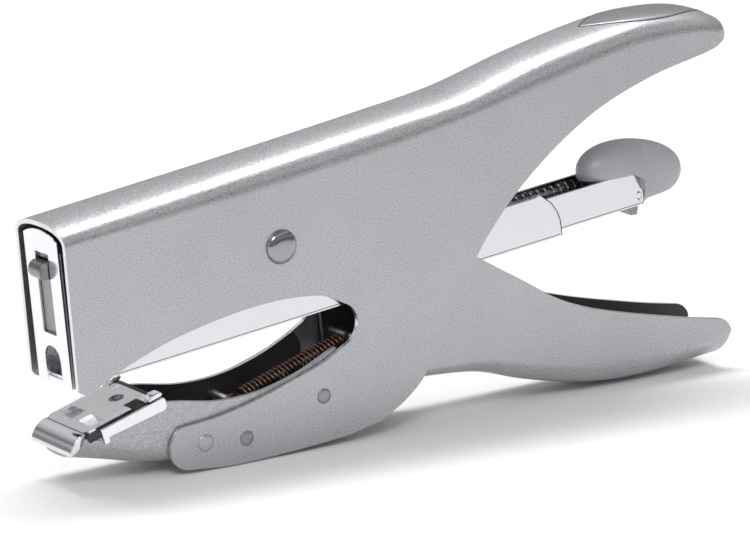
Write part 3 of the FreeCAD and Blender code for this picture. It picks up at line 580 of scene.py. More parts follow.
@dataclass
class FoldedSheet:
    """A sheet folded over a long crown, with two flat walls that share one outline.

    The fold's knots are (x, crease, crown). The free edge runs from the rear end of the crease back to
    its front end.
    """

    name: str
    half_width: float
    gauge: float
    fold: list[Point3]
    fold_start: float
    fold_end: float
    free_edge: list[Point2]
    roundness: float = CORNER_SHARPNESS
    taper_from: float = NO_TAPER
    taper_power: float = CORNER_SHARPNESS
    start_slant: float = 0.0
    end_slant: float = 0.0
    steps: int = 120
    across: int = 28

    def half_at(self, x: float) -> float:
        """Half the width at x, less towards a rounded end."""
        if x <= self.taper_from:
            return self.half_width
        t = min(1.0, (x - self.taper_from) / (self.fold_end - self.taper_from))
        return self.half_width * (1 - t ** self.taper_power) ** (1 / self.taper_power)

    def low_at(self, x: float) -> float:
        """The free edge's level at x, near the tapered end."""
        reach = [p for p in self.free_edge if p[0] >= self.taper_from - 6]
        reach.sort()
        for a, b in zip(reach, reach[1:]):
            if a[0] <= x <= b[0]:
                t = (x - a[0]) / max(1e-9, b[0] - a[0])
                return a[1] + (b[1] - a[1]) * t
        return reach[-1][1]

    def crown_row(self, builder: MeshBuilder, x: float) -> Row:
        """One row of vertices over the fold, from the near crease to the far one."""
        crease, crown = smooth_value(x, self.fold, 1), smooth_value(x, self.fold, 2)
        half = self.half_at(x)
        row = []
        for n in range(self.across + 1):
            angle = math.pi * (1 - n / self.across)
            c, s = math.cos(angle), max(0.0, math.sin(angle))
            y = half * math.copysign(abs(c) ** (2 / self.roundness), c)
            lift = s ** (2 / self.roundness)
            row.append(builder.vertex(x + self.slant_at(x) * lift, y, crease + (crown - crease) * lift))
        return row

    def slant_at(self, x: float) -> float:
        """How far the crown stands forward of the crease near a slanted end."""
        near_start = max(0.0, 1 - (x - self.fold_start) / SLANT_REACH) ** 2
        near_end = max(0.0, 1 - (self.fold_end - x) / SLANT_REACH) ** 2
        return -self.start_slant * near_start - self.end_slant * near_end

    def build(self) -> bpy.types.Object:
        """Returns the sheet as an object with its thickness turned inwards."""
        builder = MeshBuilder()
        end = min(self.fold_end, self.taper_from)
        stations = [self.fold_start + (end - self.fold_start) * n / self.steps
                    for n in range(self.steps + 1)]
        rows = [self.crown_row(builder, x) for x in stations]
        builder.strip(rows)
        edge = [p for p in self.free_edge if p[0] <= end + 1e-6]
        for column, sign in ((0, -1), (-1, 1)):
            wall = [row[column] for row in rows]
            if end < self.fold_end:
                wall.append(builder.vertex(end, sign * self.half_width, self.low_at(end)))
            wall += [builder.vertex(x, sign * self.half_width, z) for x, z in edge]
            builder.face(wall if sign > 0 else wall[::-1])
            if end < self.fold_end:
                self._tapered_end(builder, rows[-1], wall[len(rows)], column, sign)
        if end < self.fold_end:
            builder.strip([rows[-1]] + [self.crown_row(builder, x) for x in self._end_stations()])
        bmesh.ops.remove_doubles(builder.mesh, verts=builder.mesh.verts[:], dist=1e-4)
        crown_face = builder.mesh.faces[:][self.across // 2]
        bmesh.ops.recalc_face_normals(builder.mesh, faces=builder.mesh.faces[:])
        outwards = 1 if self.fold[0][2] > self.fold[0][1] else -1
        if crown_face.normal.z * outwards < 0:
            bmesh.ops.reverse_faces(builder.mesh, faces=builder.mesh.faces[:])
        piece = builder.object(self.name, fix_normals=False)
        solid = piece.modifiers.new("sheet_gauge", "SOLIDIFY")
        solid.thickness = self.gauge * MM
        solid.offset = -1.0
        solid.use_even_offset = True
        # The inner faces take the third finish, the darker one that paints the shade inside the sheet.
        solid.material_offset = 2
        solid.material_offset_rim = 1
        return piece

    def _end_stations(self) -> list[float]:
        """Stations over the tapered end, closer together towards its tip."""
        span = self.fold_end - self.taper_from
        return [self.taper_from + span * math.sin(math.pi / 2 * n / TIP_STATIONS)
                for n in range(1, TIP_STATIONS + 1)]

    def _tapered_end(self, builder: MeshBuilder, last: Row,
                     corner: bmesh.types.BMVert, column: int, sign: int) -> None:
        """Carries one wall on round the rounded end."""
        count = 6
        rows = []
        top, low = last[column], corner
        rows.append([top] + [builder.vertex(top.co.x, top.co.y, top.co.z + (low.co.z - top.co.z) * k / count)
                             for k in range(1, count)] + [low])
        for x in self._end_stations():
            half = self.half_at(x)
            crease = smooth_value(x, self.fold, 1)
            edge = min(self.low_at(x), crease - 0.05)
            rows.append([builder.vertex(x, sign * half, crease + (edge - crease) * k / count)
                         for k in range(count + 1)])
        builder.strip(rows)


def hand_over_sheet(sheet: FoldedSheet, body: str, node: str, edge: Finish, inside: Finish) -> None:
    """Builds a painted sheet and puts it on its body.

    Args:
        sheet: The sheet.
        body: The body that it moves with.
        node: The node that it replaces.
        edge: The finish of its sheared edge.
        inside: The finish of its inner face, darker than the paint, standing for painted shade inside the
            sheet.
    """
    piece = sheet.build()
    dress(piece, SILVER_PAINT, edge, inside)
    soften(piece, SHEET_EDGE, SHEET_ANGLE)
    settle(piece, body, "paint", node)


class Casing:
    """The folded casing: nose, upper handle and cheeks in one sheet."""

    NOSE = 61.9
    REAR = 149.4
    TIP_LENGTH = 11.5
    FOLD = [(-66, 15.5, 20.1), (-31, 15.5, 21.0), (0, 15.5, 21.9), (38, 16.8, 23.1), (62, 18.6, 24.1),
            (86, 21.2, 27.9), (112.4, 24.1, 30.3), (125.4, 23.9, 29.9), (139.4, 22.4, 27.4),
            (149.4, 18.6, 22.4), (155.4, 15.0, 17.3)]

    def free_edge(self) -> list[Point2]:
        """The outline of a cheek below the crease, from the rear end to the nose."""
        nose = -self.NOSE
        path = Outline((self.REAR, 19.6))
        path.curve((139.3, 17.5), (118.9, 15.2), (98.6, 9.8), (78, -1.2), (62.2, -14.6),
                   (51.2, -29.4), (40.1, -44.8), (33.2, -49.9), (25, -53.3))
        path.curve((12.4, -54.1), (-18.1, -52.2), (-32.9, -49.6))
        path.arc((-37.9, -43.4), (-34.2, -38.2))
        path.curve((-22.6, -38.3), (-10.4, -37.1), (8.4, -33.5), (18.0, -29.8))
        path.arc((20.8, -25.5), (18.2, -20))
        path.curve((10.3, -15.6), (-7.7, -13.2), (-31.8, -14.7), (-49.9, -18.8), (nose + 3.4, -22.1))
        path.arc((nose + 0.8, -21.8), (nose - 0.3, -19.0))
        path.line((nose + 0.15, 15.5))
        return path.points[:-1]

    def sheet(self) -> FoldedSheet:
        """The folded sheet's description."""
        return FoldedSheet("casing_sheet", CASING_HALF, PAINTED_GAUGE, self.FOLD, -self.NOSE + 0.15,
                           self.REAR, self.free_edge(), taper_from=self.REAR - self.TIP_LENGTH)

    def build(self) -> None:
        """Builds the sheet and puts it on the frame."""
        # The inner face takes the darker inlay paint as painted shade inside the casing.
        hand_over_sheet(self.sheet(), "frame", "casing", RAW_EDGE, INLAY_PAINT)


CASING_SHEET = Casing().sheet()


class LowerHandle:
    """The squeezed handle: two flat walls and a trough with a rounded bottom."""

    FRONT = 37.6
    REAR = 141.6
    FOLD = [(0, -36, -39), (40, -43.9, -47.4), (60, -46.8, -51.6), (76, -52, -58.2),
            (91, -56.4, -63.3), (104, -58.3, -66.4), (117, -59.8, -67.75), (134, -60.8, -67.9),
            (148, -61, -68.2)]

    def free_edge(self) -> list[Point2]:
        """The wall's outline, from the rear end of the crease round to its front end."""
        rear = self.REAR
        path = Outline((rear, -60.9))
        path.arc((rear - 0.9, -58.8), (rear - 4.4, -56.6))
        path.curve((rear - 17, -52.8), (98.3, -43.5), (85.6, -37.2), (73.3, -28.4), (60.6, -19.2))
        path.curve((45, -6), (28, 4.4), (14, 7.6), (0, 8.5))
        path.arc((-8.5, 0), (2, -8.3))
        path.arc((16.5, -12.6), (22.9, -24))
        path.line((23.1, -38))
        path.arc((24.8, -43.2), (28.5, -44.6))
        return path.points

    def build(self) -> None:
        """Builds the handle and puts it on the lever."""
        sheet = FoldedSheet("handle_sheet", HANDLE_HALF, PAINTED_GAUGE, self.FOLD, self.FRONT, self.REAR,
                            self.free_edge(), end_slant=3.4)
        # The inner face is dressed near black as painted shade inside the trough.
        hand_over_sheet(sheet, "lever", "lower_handle", SILVER_PAINT, PAINTED_SHADE_FINISH)


class JawArm:
    """The fixed jaw: a trough that carries the anvil."""

    FRONT = -61.0
    REAR = 16.0
    FOLD = [(-80, -23, -29.5), (-64.8, -31.8, -37.4), (-52, -37.3, -43.2), (-40, -42, -47.2),
            (-20, -46.3, -51.4), (0, -47, -52.6), (14, -47, -52.8), (30, -46, -52.0)]

    def free_edge(self) -> list[Point2]:
        """The wall's outline, from the rear end of the crease over the top to the nose."""
        path = Outline((self.REAR, -47.0))
        path.line((self.REAR, -34.0), (14.2, -30.6))
        path.curve((3.1, -34.1), (-9.3, -35.8), (-21.3, -34.9), (-32.9, -31.8), (-37.6, -30.7))
        path.line((-59.9, -34.6), (-63.6, -36.4))
        return path.points

    def build(self) -> None:
        """Builds the arm and puts it on the frame."""
        sheet = FoldedSheet("jaw_sheet", JAW_HALF, PAINTED_GAUGE, self.FOLD, self.FRONT, self.REAR,
                            self.free_edge()[:-1], start_slant=3.0)
        # The inner face is dressed near black as painted shade inside the jaw's trough.
        hand_over_sheet(sheet, "frame", "jaw_arm", SILVER_PAINT, PAINTED_SHADE_FINISH)


@dataclass
class ThumbInlay:
    """Lens-shaped inlay, seated in the crown of the upper handle."""

    front: float = 105.4
    rear: float = 146.6
    bulge: float = 7.6
    proud: float = 0.22
    sink: float = 0.05
    rim: float = 0.6
    depth: float = 0.9
    rows: int = 72
    across: int = 20

    def half_at(self, x: float) -> float:
        """Half the lens's width at x: an arc between its two points."""
        middle, reach = (self.front + self.rear) / 2, (self.rear - self.front) / 2
        radius = (reach ** 2 + self.bulge ** 2) / (2 * self.bulge)
        return math.sqrt(max(0.0, radius ** 2 - (x - middle) ** 2)) - (radius - self.bulge)

    def station(self, n: int, count: int) -> float:
        """The x of one of count steps along the lens, closer together towards its points."""
        return self.front + (self.rear - self.front) * (1 - math.cos(math.pi * n / count)) / 2

    @staticmethod
    def crown_level(x: float, y: float) -> float:
        """The level of the casing's crown at a place in plan."""
        crease, crown = smooth_value(x, Casing.FOLD, 1), smooth_value(x, Casing.FOLD, 2)
        half = CASING_SHEET.half_at(x)
        share = min(1.0, abs(y) / half)
        return crease + (crown - crease) * (1 - share ** CORNER_SHARPNESS) ** (1 / CORNER_SHARPNESS)

    def build(self) -> None:
        """Builds the inlay and puts it on the frame."""
        builder = MeshBuilder()
        tops, lows = [], []
        for n in range(self.rows + 1):
            x = self.station(n, self.rows)
            half = max(0.02, self.half_at(x))
            top, low = [], []
            for k in range(self.across + 1):
                y = half * math.sin(math.pi / 2 * (2 * k / self.across - 1))
                level = self.crown_level(x, y)
                rim = min(1.0, (half - abs(y)) / self.rim)
                top.append(builder.vertex(x, y, level + self.proud * math.sqrt(max(0.0, rim)) - self.sink))
                low.append(builder.vertex(x, y, level - self.depth))
            tops.append(top)
            lows.append(low)
        builder.strip(tops)
        builder.strip([row[::-1] for row in lows])
        for end in (0, -1):
            builder.strip([tops[end], lows[end]])
        for column in (0, -1):
            builder.strip([[row[column] for row in tops], [row[column] for row in lows]])
        bmesh.ops.remove_doubles(builder.mesh, verts=builder.mesh.verts[:], dist=1e-3)
        hand_over(builder, "thumb_inlay_plate", INLAY_PAINT, "frame", "inlay", "thumb_inlay")


@dataclass
class SeamBead:
    """Dark joint line round the thumb inlay."""

    inlay: ThumbInlay
    radius: float = 0.16
    outside: float = 0.12
    sink: float = 0.02
    steps: int = 60

    def build(self) -> None:
        """Builds the bead on both sides of the lens."""
        builder = MeshBuilder()
        inlay = self.inlay
        for side in (-1, 1):
            path = []
            for n in range(self.steps + 1):
                x = inlay.station(n, self.steps)
                y = side * (max(0.0, inlay.half_at(x)) + self.outside)
                path.append(Vector((x, y, inlay.crown_level(x, y) - self.sink)))
            builder.tube(path, self.radius)
        hand_over(builder, "inlay_seam", DARK_SEAM, "frame", "inlay")


@dataclass
class LoaderKnob:
    """Smooth moulded knob at the end of the core, with a pinched dish on each side of its tail."""

    centre: Point3 = (118.6, 0.0, -12.5)
    radii: Point3 = (17.0, 7.6, 8.5)
    tilt: float = 14.0
    dish_centre: Point2 = (130.4, -12.6)
    dish_radius: float = 12.6
    dish_rim: float = 0.8
    bluntness: float = 0.9
    pinch: float = 0.42
    floor: float = -20.45
    reach: float = 12.0
    core_end: float = 118.42
    core_top: float = -11.13
    sides: int = 96
    rows: int = 110
    pin: Point2 = (116.6, -17.6)

    PIN_HEAD = [(1.0, 0.0), (1.0, 5.6), (0.85, 5.66), (0.0, 5.68)]

    def build(self) -> None:
        """Builds the knob and puts it on the loader."""
        builder = MeshBuilder()
        lean = math.radians(self.tilt)
        rings = []
        for n in range(self.rows + 1):
            u = math.pi * n / self.rows
            ring = []
            for k in range(self.sides):
                v = math.tau * k / self.sides
                x = -self.radii[0] * math.cos(u)
                bulk = math.sin(u) ** self.bluntness
                y = self.radii[1] * bulk * math.cos(v)
                z = self.radii[2] * bulk * math.sin(v)
                across = self.centre[0] + x * math.cos(lean) + z * math.sin(lean)
                up = self.centre[2] - x * math.sin(lean) + z * math.cos(lean)
                inside = self.dish_radius - math.dist((across, up), self.dish_centre)
                if inside > 0 and across > self.dish_centre[0] - self.dish_radius:
                    y *= 1 - self.pinch * (1 - math.exp(-inside / self.dish_rim))
                up = max(up, self.floor)
                ring.append(builder.vertex(across, y, up))
            rings.append(ring)
        builder.strip(rings, closed=True)
        bmesh.ops.remove_doubles(builder.mesh, verts=builder.mesh.verts[:], dist=1e-3)
        piece = builder.object("knob_moulding")
        dress(piece, GREY_MOULDING)
        self._socket(piece)
        settle(piece, "loader", "knob", "loader_knob")
        builder = MeshBuilder()
        builder.heads(*self.pin, 0.0, self.PIN_HEAD, 32)
        hand_over(builder, "knob_flush_pin", NICKEL, "loader", "steel", "knob_pin")

    def _socket(self, piece: bpy.types.Object) -> None:
        """Cuts the seat for the end of the core from the knob."""
        cutter = MeshBuilder()
        cutter.prism([(60, self.floor - 6), (60, self.core_top), (self.core_end - 3.6, self.core_top),
                      (self.core_end - 1.2, -13), (self.core_end, -17.2), (self.core_end, self.floor - 6)],
                     -self.reach, self.reach)
        carve(piece, cutter.object("knob_pocket"))
        piece.data.set_sharp_from_angle(angle=math.radians(35))


@dataclass
class PaintedShadeLines:
    """Dark lines of painted shade at the sheared end and along the bottom folds of a sheet channel, where
    the gap and the creases lie in shadow.
    """

    name: str
    body: str
    across: float
    low: float
    front: float
    end: list[Point2]
    radius: float = 0.13

    END_GAP = 0.4          # how far a fold's line stops before the sheared end
    FOLD_SHARE = 0.8       # a fold's line is this much of the end line's radius

    def build(self) -> None:
        """Builds the lines on both walls and puts them on the channel's body."""
        builder = MeshBuilder()
        for side in (-1, 1):
            y = side * self.across
            builder.tube([Vector((x, y, z)) for x, z in self.end], self.radius)
            last = self.end[0][0] - self.END_GAP
            builder.tube([Vector((self.front, y, self.low)), Vector((last, y, self.low))],
                         self.radius * self.FOLD_SHARE)
        hand_over(builder, self.name, PAINTED_SHADE_FINISH, self.body, "dark_steel")


CHANNEL_LINES = PaintedShadeLines("channel_painted_shade_lines", "magazine", 7.43, -20.75, -59.0,
                          [(89.3, -21.0), (89.4, -20.1), (89.2, -17.0), (88.4, -14.4), (86.6, -11.6),
                           (84.8, -10.1), (83.5, -8.9)])
CORE_LINES = PaintedShadeLines("core_painted_shade_lines", "loader", 5.58, -19.95, 40.0,
                       [(117.7, -20.35), (118.3, -19.6), (118.35, -17.2), (118.1, -14.8), (117.2, -13.0),
                        (115.9, -11.9), (114.4, -11.3)])


@dataclass
class CoilSpring:
    """A wire coil between two points, with close turns or spread turns, and hooks if asked."""

    name: str
    start: Point3
    end: Point3
    radius: float
    wire: float
    turns: float
    hooks: bool = False

    STEPS_PER_TURN = 20
    FADE_STEPS = 8         # steps over which a hooked coil grows from its middle
    PIN_RADIUS = 1.2
    HOOK_SLACK = 0.1
    HOOK_LEAD = 2.6        # from the pin to the first turn
    HOOK_STEPS = 12
    HOOK_TIP = -120        # where the open eye begins, in degrees
    HOOK_SWEEP = 270

    def build(self) -> bpy.types.Object:
        """Returns the coil as one wire."""
        first, last = Vector(self.start), Vector(self.end)
        along = (last - first).normalized()
        side = along.cross(Vector((0, 1, 0))).normalized()
        other = along.cross(side)
        lead = self.HOOK_LEAD if self.hooks else 0.0
        coil_from, coil_to = first + along * lead, last - along * lead
        steps = round(self.turns * self.STEPS_PER_TURN)
        path = []
        if self.hooks:
            path += self._hook(first, along, side)
        for n in range(steps + 1):
            angle = math.tau * self.turns * n / steps
            fade = min(1.0, n / self.FADE_STEPS, (steps - n) / self.FADE_STEPS) if self.hooks else 1.0
            reach = self.radius * fade
            path.append(coil_from.lerp(coil_to, n / steps)
                        + (side * math.cos(angle) + other * math.sin(angle)) * reach)
        if self.hooks:
            path += self._hook(last, -along, side)[::-1]
        builder = MeshBuilder()
        builder.tube(path, self.wire / 2)
        return builder.object(self.name)

    def _hook(self, pin: Vector, inwards: Vector, side: Vector) -> list[Vector]:
        """An open eye round a cross pin, from its tip to where the coil begins."""
        reach = self.PIN_RADIUS + self.wire / 2 + self.HOOK_SLACK
        points = []
        for n in range(self.HOOK_STEPS + 1):
            angle = math.radians(self.HOOK_TIP + self.HOOK_SWEEP * n / self.HOOK_STEPS)
            points.append(pin - inwards * (reach * math.cos(angle)) + side * (reach * math.sin(angle)))
        return points


class Springs:
    """The return spring in the jaw and the pusher's spring round its rod."""

    def build(self) -> None:
        """Builds both coils in place of the two spring nodes."""
        front, rear = Vector((-12.0, 0, -40.2)), Vector((25.5, 0, -33.0))
        coil = CoilSpring("return_coil", tuple(front), tuple(rear), 1.9, 0.8, 27, hooks=True).build()
        dress(coil, DARKENED_COPPER_WIRE)
        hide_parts("return_spring")
        tuple(DRAWN.place(*front))
        tuple(DRAWN.place(*rear))
        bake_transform(coil)
        LOG.info("return_coil bends between frame and lever")
        start, end = Vector((4.4, 0, -16.2)), Vector((111.4, 0, -16.2))
        push = CoilSpring("pusher_coil", tuple(start), tuple(end), 1.95, 0.5, 46).build()
        dress(push, ZINC)
        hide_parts("pusher_spring")
        tuple(DRAWN.place(*start))
        tuple(DRAWN.place(*end))
        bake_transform(push)
        LOG.info("pusher_coil stretches between pusher_body and loader")


@dataclass
class StapleStrip:
    """A glued strip of U-shaped staples astride the core."""

    front: float = -60.3
    count: int = 76
    pitch: float = 0.655
    wire: float = 0.5
    corner: float = 0.25
    gap_before: float = 0.02
    gap_after: float = 0.03
    outer: float = 6.5
    top: float = -10.6
    leg: float = 6.4

    def build(self) -> None:
        """Builds every staple and puts the strip on the magazine."""
        builder = MeshBuilder()
        half, wire, top, bevel = self.outer, self.wire, self.top, self.corner
        for n in range(self.count):
            x = self.front + n * self.pitch
            section = [(-half, top - self.leg), (-half, top - bevel), (-half + bevel, top),
                       (half - bevel, top), (half, top - bevel), (half, top - self.leg),
                       (half - wire, top - self.leg), (half - wire, top - wire),
                       (-half + wire, top - wire), (-half + wire, top - self.leg)]
            near = [builder.vertex(x + self.gap_before, y, z) for y, z in section]
            far = [builder.vertex(x + self.pitch - self.gap_after, y, z) for y, z in section]
            builder.strip([near, far], closed=True)
            for a, b, c, d in ((0, 1, 8, 9), (1, 2, 7, 8), (2, 3, 7, 7), (3, 4, 7, 7), (4, 5, 6, 7)):
                builder.face([near[a], near[b], near[c], near[d]])
                builder.face([far[d], far[c], far[b], far[a]])
        hand_over(builder, "staple_wires", DARKENED_COPPER_WIRE, "magazine", "copper", "staple_strip")


class Pivot:
    """Polished head and cap of the main pin, and the flush rivets of the jaw."""

    FACE = CASING_HALF
    PIN_RADIUS = 2.5
    RIVETS = ((-15.5, -46.2), (8.6, -41.8))
    RIVET_START = -0.02    # both halves overlap in the middle
    RIVET_HEAD = [(1.9, 0.0), (1.9, 11.2), (1.98, 11.24), (1.9, 11.42), (1.2, 11.5), (0.0, 11.52)]
    DIMPLE = (-27.6, -43.9)
    DIMPLE_HEAD = [(2.3, 0.0), (2.25, 0.22), (2.0, 0.42), (1.2, 0.50), (0.0, 0.52)]
    DOME = [(4.4, 0.0), (4.4, 0.25), (4.25, 0.62), (3.85, 1.02), (3.2, 1.36), (2.2, 1.6), (1.1, 1.69),
            (0.0, 1.7)]

    def build(self) -> None:
        """Builds the turned heads and puts them on the frame."""
        for name, side, node in (("pin_head", -1, "pivot_pin"), ("pin_cap", 1, "pivot_cap")):
            builder = MeshBuilder()
            out = Vector((0, side, 0))
            if node == "pivot_pin":
                shaft = [(self.PIN_RADIUS, 0.0), (self.PIN_RADIUS, 2 * self.FACE)]
                builder.turned((0, side * self.FACE, 0), shaft, -out, 48)
            builder.turned((0, side * self.FACE, 0), self.DOME, out, 64)
            hand_over(builder, name, POLISHED_HEAD, "frame", "chrome", node, rounding=(0.1, 50))
        builder = MeshBuilder()
        for x, z in self.RIVETS:
            builder.heads(x, z, self.RIVET_START, self.RIVET_HEAD, 32)
        hand_over(builder, "rivet_heads", RIVET_STEEL, "frame", "steel", "jaw_rivets")
        builder = MeshBuilder()
        builder.heads(*self.DIMPLE, self.FACE - 0.1, self.DIMPLE_HEAD, 48)
        hand_over(builder, "cheek_dimples", SILVER_PAINT, "frame", "paint")


@dataclass
class Anvil:
    """Anvil plate with two bending pockets, its bracket with folded clips, and the rolled nose."""

    front: float = -65.2
    length: float = 23.0
    top: float = -21.5
    gauge: float = 1.2
    half: float = 9.0
    plate_short: float = 2.5
    notch_depth: float = 3.8
    pocket_depth: float = 1.1
    rivet_place: float = 15.5
    rivet_hole: float = 1.95
    bracket_half: float = 10.65
    deck_inset: float = 0.3
    flap_inner: float = 9.95
    clip_inner: float = 7.8

    CLIP = ((4.6, 0.02), (1.0, 0.02), (0.4, 0.5), (0.8, 1.15), (2.8, 1.3), (4.2, 0.7))
    HOLLOW_RIVET = ((1.9, 0.0), (1.9, 2.3), (1.75, 2.5), (1.4, 2.52), (1.1, 2.3), (0.8, 1.5), (0.0, 1.4))

    def plate(self) -> None:
        """Builds the plate: clipped corners, two pockets, a notch at one side and the rivet's hole."""
        builder = MeshBuilder(JAW)
        low, top, half = self.top - self.gauge, self.top, self.half
        rear = self.front + self.length - self.plate_short
        outline = [(self.front + 1.2, -half), (rear - 1.6, -half), (rear - 0.4, -half + 1.4),
                   (rear, -half + 3.4), (rear, half - 3.4), (rear - 0.4, half - 1.4),
                   (rear - 1.6, half), (self.front + 1.2, half), (self.front, half - 1.6),
                   (self.front, -half + 1.6)]
        bottom = [builder.vertex(x, y, low) for x, y in outline]
        upper = [builder.vertex(x, y, top) for x, y in outline]
        builder.face(bottom)
        builder.face(upper)
        builder.strip([bottom, upper], closed=True)
        piece = builder.object("anvil_deck")
        dress(piece, SATIN_NICKEL)
        cutter = MeshBuilder(JAW)
        for side in (-1, 1):
            self._pocket(cutter, side)
        notch_from, notch_to = rear - 6.4, rear - 2.4
        cutter.prism([(notch_from, low - 1), (notch_to, low - 1), (notch_to, top + 1),
                      (notch_from, top + 1)], -half - 1, -half + self.notch_depth)
        hole = [(self.rivet_hole, 0.0), (self.rivet_hole, 3.0)]
        cutter.turned((self.front + self.rivet_place, 0, low - 0.5), hole, Vector((0, 0, 1)), 32)
        carve(piece, cutter.object("pocket_tools"))
        soften(piece, 0.12, 30)
        settle(piece, "frame", "chrome", "anvil_plate")

    def _pocket(self, cutter: MeshBuilder, side: int) -> None:
        """Adds the tool for one pocket: a steep outer wall and a ramp that rises to the middle."""
        y_out, y_flat, y_in = side * 7.3, side * (7.3 - 2.2), side * 1.3
        x0, x1 = self.front + 3.0, self.front + 7.2
        over, floor = self.top + 0.5, self.top - self.pocket_depth
        section = [(y_out, over), (y_out, floor), (y_flat, floor), (y_in, self.top - 0.05), (y_in, over)]
        near = [cutter.vertex(x0, y, z) for y, z in section]
        far = [cutter.vertex(x1, y, z) for y, z in section]
        cutter.face(near)
        cutter.face(far)
        cutter.strip([near, far], closed=True)

    def bracket(self) -> None:
        """Builds the bracket under the plate: a deck, folded side flaps, clips and corner tabs."""
        builder = MeshBuilder(JAW)
        low, top = self.top - 2 * self.gauge, self.top - self.gauge - 0.01
        half = self.bracket_half
        front, rear = self.front, self.front + self.length
        deck = MeshBuilder(JAW)
        deck.prism([(front, low), (rear, low), (rear, top), (front, top)], -half + self.deck_inset,
                   half - self.deck_inset)
        # The deck is dressed near black as painted shade: only its edge shows, in the groove beside the
        # plate.
        hand_over(deck, "anvil_bracket_deck", PAINTED_SHADE_FINISH, "frame", "steel")
        for side in (-1, 1):
            y0, y1 = sorted((side * self.flap_inner, side * half))
            flap = Outline((front + 3.6, top + 0.75), 1.0)
            flap.line((rear - 1.2, top + 0.75)).arc((rear - 0.2, top + 0.4), (rear, top - 0.6))
            flap.line((rear, low - 0.4)).arc((rear - 0.4, low - 1.2), (rear - 1.4, low - 1.5))
            flap.line((front + 5.4, low - 0.9), (front + 5.2, low - 2.3), (front + 3.8, low - 2.3))
            builder.prism(flap.points, y0, y1)
            y0, y1 = sorted((side * self.clip_inner, side * half))
            builder.prism([(rear - back, self.top + up) for back, up in self.CLIP], y0, y1)
        rivet = MeshBuilder(JAW)
        rivet.turned((front + self.rivet_place, 0, low), self.HOLLOW_RIVET, Vector((0, 0, 1)), 40)
        hand_over(rivet, "anvil_hollow_rivet", SPRING_STEEL, "frame", "chrome", "anvil_rivet")
        hand_over(builder, "anvil_folded_bracket", SATIN_NICKEL, "frame", "steel", "anvil_bracket",
                  rounding=(0.18, 40))

    def nose(self) -> None:
        """Builds the rolled nose in front of the plate."""
        builder = MeshBuilder(JAW)
        low = self.top - 2 * self.gauge
        path = Outline((self.front - 0.05, self.top - 0.2), 0.5)
        path.arc((self.front - 3.9, self.top - 1.5), (self.front - 5.7, low - 1.6))
        path.line((self.front - 5.1, low - 1.95), (self.front - 0.05, low - 0.05))
        builder.prism(path.points, -self.half, self.half)
        hand_over(builder, "rolled_nose", NICKEL, "frame", "chrome", "nose_cap", rounding=(0.25, 40))

    def build(self) -> None:
        """Builds plate, bracket and nose."""
        self.plate()
        self.bracket()
        self.nose()


class DressedNodes:
    """Every CAD node that keeps its own shape, with its finish and softened edges."""

    FOLDED = ("magazine_channel", "core_rail")
    FOLDED_EDGE = 0.34
    PLAIN_EDGE = 0.15
    WELD_MM = 0.002
    FINISHES = {
        "jaw_spacers": ZINC, "spring_front_pin": ZINC, "spring_rear_pin": ZINC,
        "driver_arm": SPRING_STEEL, "arm_rivet": ZINC, "arm_spacers": ZINC, "pivot_bush": ZINC,
        "pivot_washers": ZINC, "magazine_channel": NICKEL, "front_plate": SATIN_NICKEL,
        "staple_cover": ZINC, "leaf_spring": SPRING_STEEL, "driver_blade": SPRING_STEEL,
        "core_rail": NICKEL, "guide_rod": ZINC, "rod_blocks": ZINC,
        "core_catch": SPRING_STEEL, "pusher": ZINC}

    def build(self) -> None:
        """Dresses each node."""
        for name, finish in self.FINISHES.items():
            node = frame["nodes"][name]
            dress(node, finish)
            weld = node.modifiers.new("join_faces", "WELD")
            weld.merge_threshold = self.WELD_MM * MM
            soften(node, self.FOLDED_EDGE if name in self.FOLDED else self.PLAIN_EDGE, 40)
            LOG.info("%s has %s", name, finish.name)


# ---- studio ---------------------------------------------------------------------------------------

FLOOR_LEVEL = -0.0003
FLOOR_HALF = 6.0
SOFT_LIGHTS = (("key_light", (-0.7, -0.9, 1.1), (0.5, 0.5), 6.0),
               ("top_light", (0.1, 0.35, 1.2), (1.2, 0.26), 12.0),
               ("front_card", (-1.3, 0.1, 0.3), (0.4, 0.8), 3.0))
LIGHTS_AIM = (0.0, 0.0, 0.04)
SKY_BELOW = (0.34, 0.34, 0.35, 1.0)
SKY_ABOVE = (0.42, 0.42, 0.43, 1.0)
SKY_BANDS = ((0.14, 0.34), (0.28, 0.66), (0.40, 0.22), (0.60, 0.95), (0.78, 0.5))
SKY_STRENGTH = 0.85


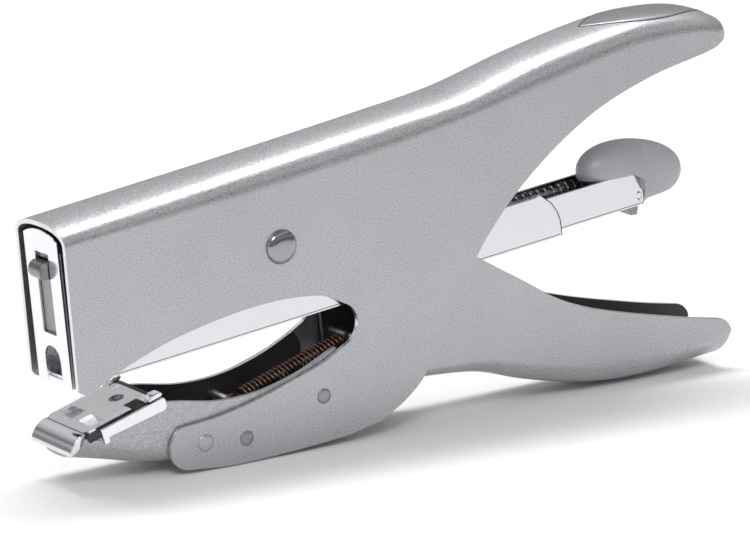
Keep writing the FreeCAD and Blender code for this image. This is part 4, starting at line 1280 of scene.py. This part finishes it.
@dataclass
class Studio:
    """Pale floor, soft lights and the camera."""

    azimuth: float = -36.087
    elevation: float = 14.708
    roll: float = 0.629
    distance: float = 1.235
    target: Point3 = (-0.024468, -0.026849, 0.047327)
    lens_mm: float = 240.0

    def floor(self) -> None:
        """Adds a large pale floor."""
        grid = bmesh.new()
        bmesh.ops.create_grid(grid, x_segments=8, y_segments=8, size=FLOOR_HALF)
        data = bpy.data.meshes.new("studio_floor")
        grid.to_mesh(data)
        grid.free()
        made = bpy.data.objects.new("studio_floor", data)
        bpy.context.scene.collection.objects.link(made)
        made.location.z = FLOOR_LEVEL
        dress(made, PALE_FLOOR)
        made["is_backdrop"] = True

    def area(self, name: str, place: Point3, size: Point2, power: float) -> None:
        """Adds one soft light.

        Args:
            name: The light's name.
            place: Where it hangs, in metres.
            size: Its width and height in metres.
            power: Its power in watts.
        """
        data = bpy.data.lights.new(name, "AREA")
        data.shape = "RECTANGLE"
        data.size, data.size_y = size
        data.energy = power
        lamp = bpy.data.objects.new(name, data)
        lamp.location = place
        lamp.rotation_mode = "QUATERNION"
        lamp.rotation_quaternion = (Vector(LIGHTS_AIM) - Vector(place)).to_track_quat("-Z", "Y")
        bpy.context.scene.collection.objects.link(lamp)

    def lights(self) -> None:
        """Adds the lights and the pale surroundings."""
        for light in SOFT_LIGHTS:
            self.area(*light)
        world = bpy.data.worlds.new("studio_surroundings")
        world.use_nodes = True
        tree = world.node_tree
        background = tree.nodes["Background"]
        place = tree.nodes.new("ShaderNodeTexCoord")
        split = tree.nodes.new("ShaderNodeSeparateXYZ")
        shades = tree.nodes.new("ShaderNodeValToRGB")
        tree.links.new(place.outputs["Generated"], split.inputs["Vector"])
        tree.links.new(split.outputs["Z"], shades.inputs["Fac"])
        tree.links.new(shades.outputs["Color"], background.inputs["Color"])
        ramp = shades.color_ramp
        ramp.elements[0].position, ramp.elements[0].color = 0.0, SKY_BELOW
        ramp.elements[1].position, ramp.elements[1].color = 1.0, SKY_ABOVE
        for position, level in SKY_BANDS:
            ramp.elements.new(position).color = (level, level, level * 1.01, 1.0)
        background.inputs["Strength"].default_value = SKY_STRENGTH
        bpy.context.scene.world = world
        bpy.context.scene.view_settings.view_transform = "Standard"

    def camera(self) -> None:
        """Adds the camera."""
        azimuth, elevation = math.radians(self.azimuth), math.radians(self.elevation)
        back = Vector((math.sin(azimuth) * math.cos(elevation), -math.cos(azimuth) * math.cos(elevation),
                       math.sin(elevation)))
        data = bpy.data.cameras.new("camera")
        data.lens = self.lens_mm
        data.sensor_width = 36.0
        made = bpy.data.objects.new("camera", data)
        made.location = Vector(self.target) + back * self.distance
        turn = Matrix.Rotation(math.radians(self.roll), 3, back)
        made.rotation_mode = "QUATERNION"
        level = (-back).to_track_quat("-Z", "Y").to_matrix()
        made.rotation_quaternion = (turn @ level).to_quaternion()
        data.clip_start, data.clip_end = 0.05, 50.0
        bpy.context.scene.collection.objects.link(made)
        bpy.context.scene.camera = made

    def build(self) -> None:
        """Sets up the whole studio."""
        self.floor()
        self.lights()
        self.camera()


def corners() -> list[list[float]]:
    """Returns the box of the shown object as plain lists."""
    return [list(corner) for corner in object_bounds()]


def main() -> None:
    """Builds the sub-assemblies in order."""
    logging.basicConfig(level=logging.INFO, format="%(name)s: %(message)s")
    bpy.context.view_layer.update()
    Studio().build()
    DressedNodes().build()
    for assembly in (Casing(), ThumbInlay(), SeamBead(ThumbInlay()), LowerHandle(), JawArm(), Pivot(),
                     Anvil(), LoaderKnob(), CHANNEL_LINES, CORE_LINES, Springs(), StapleStrip()):
        assembly.build()


if __name__ == "__main__":
    main()
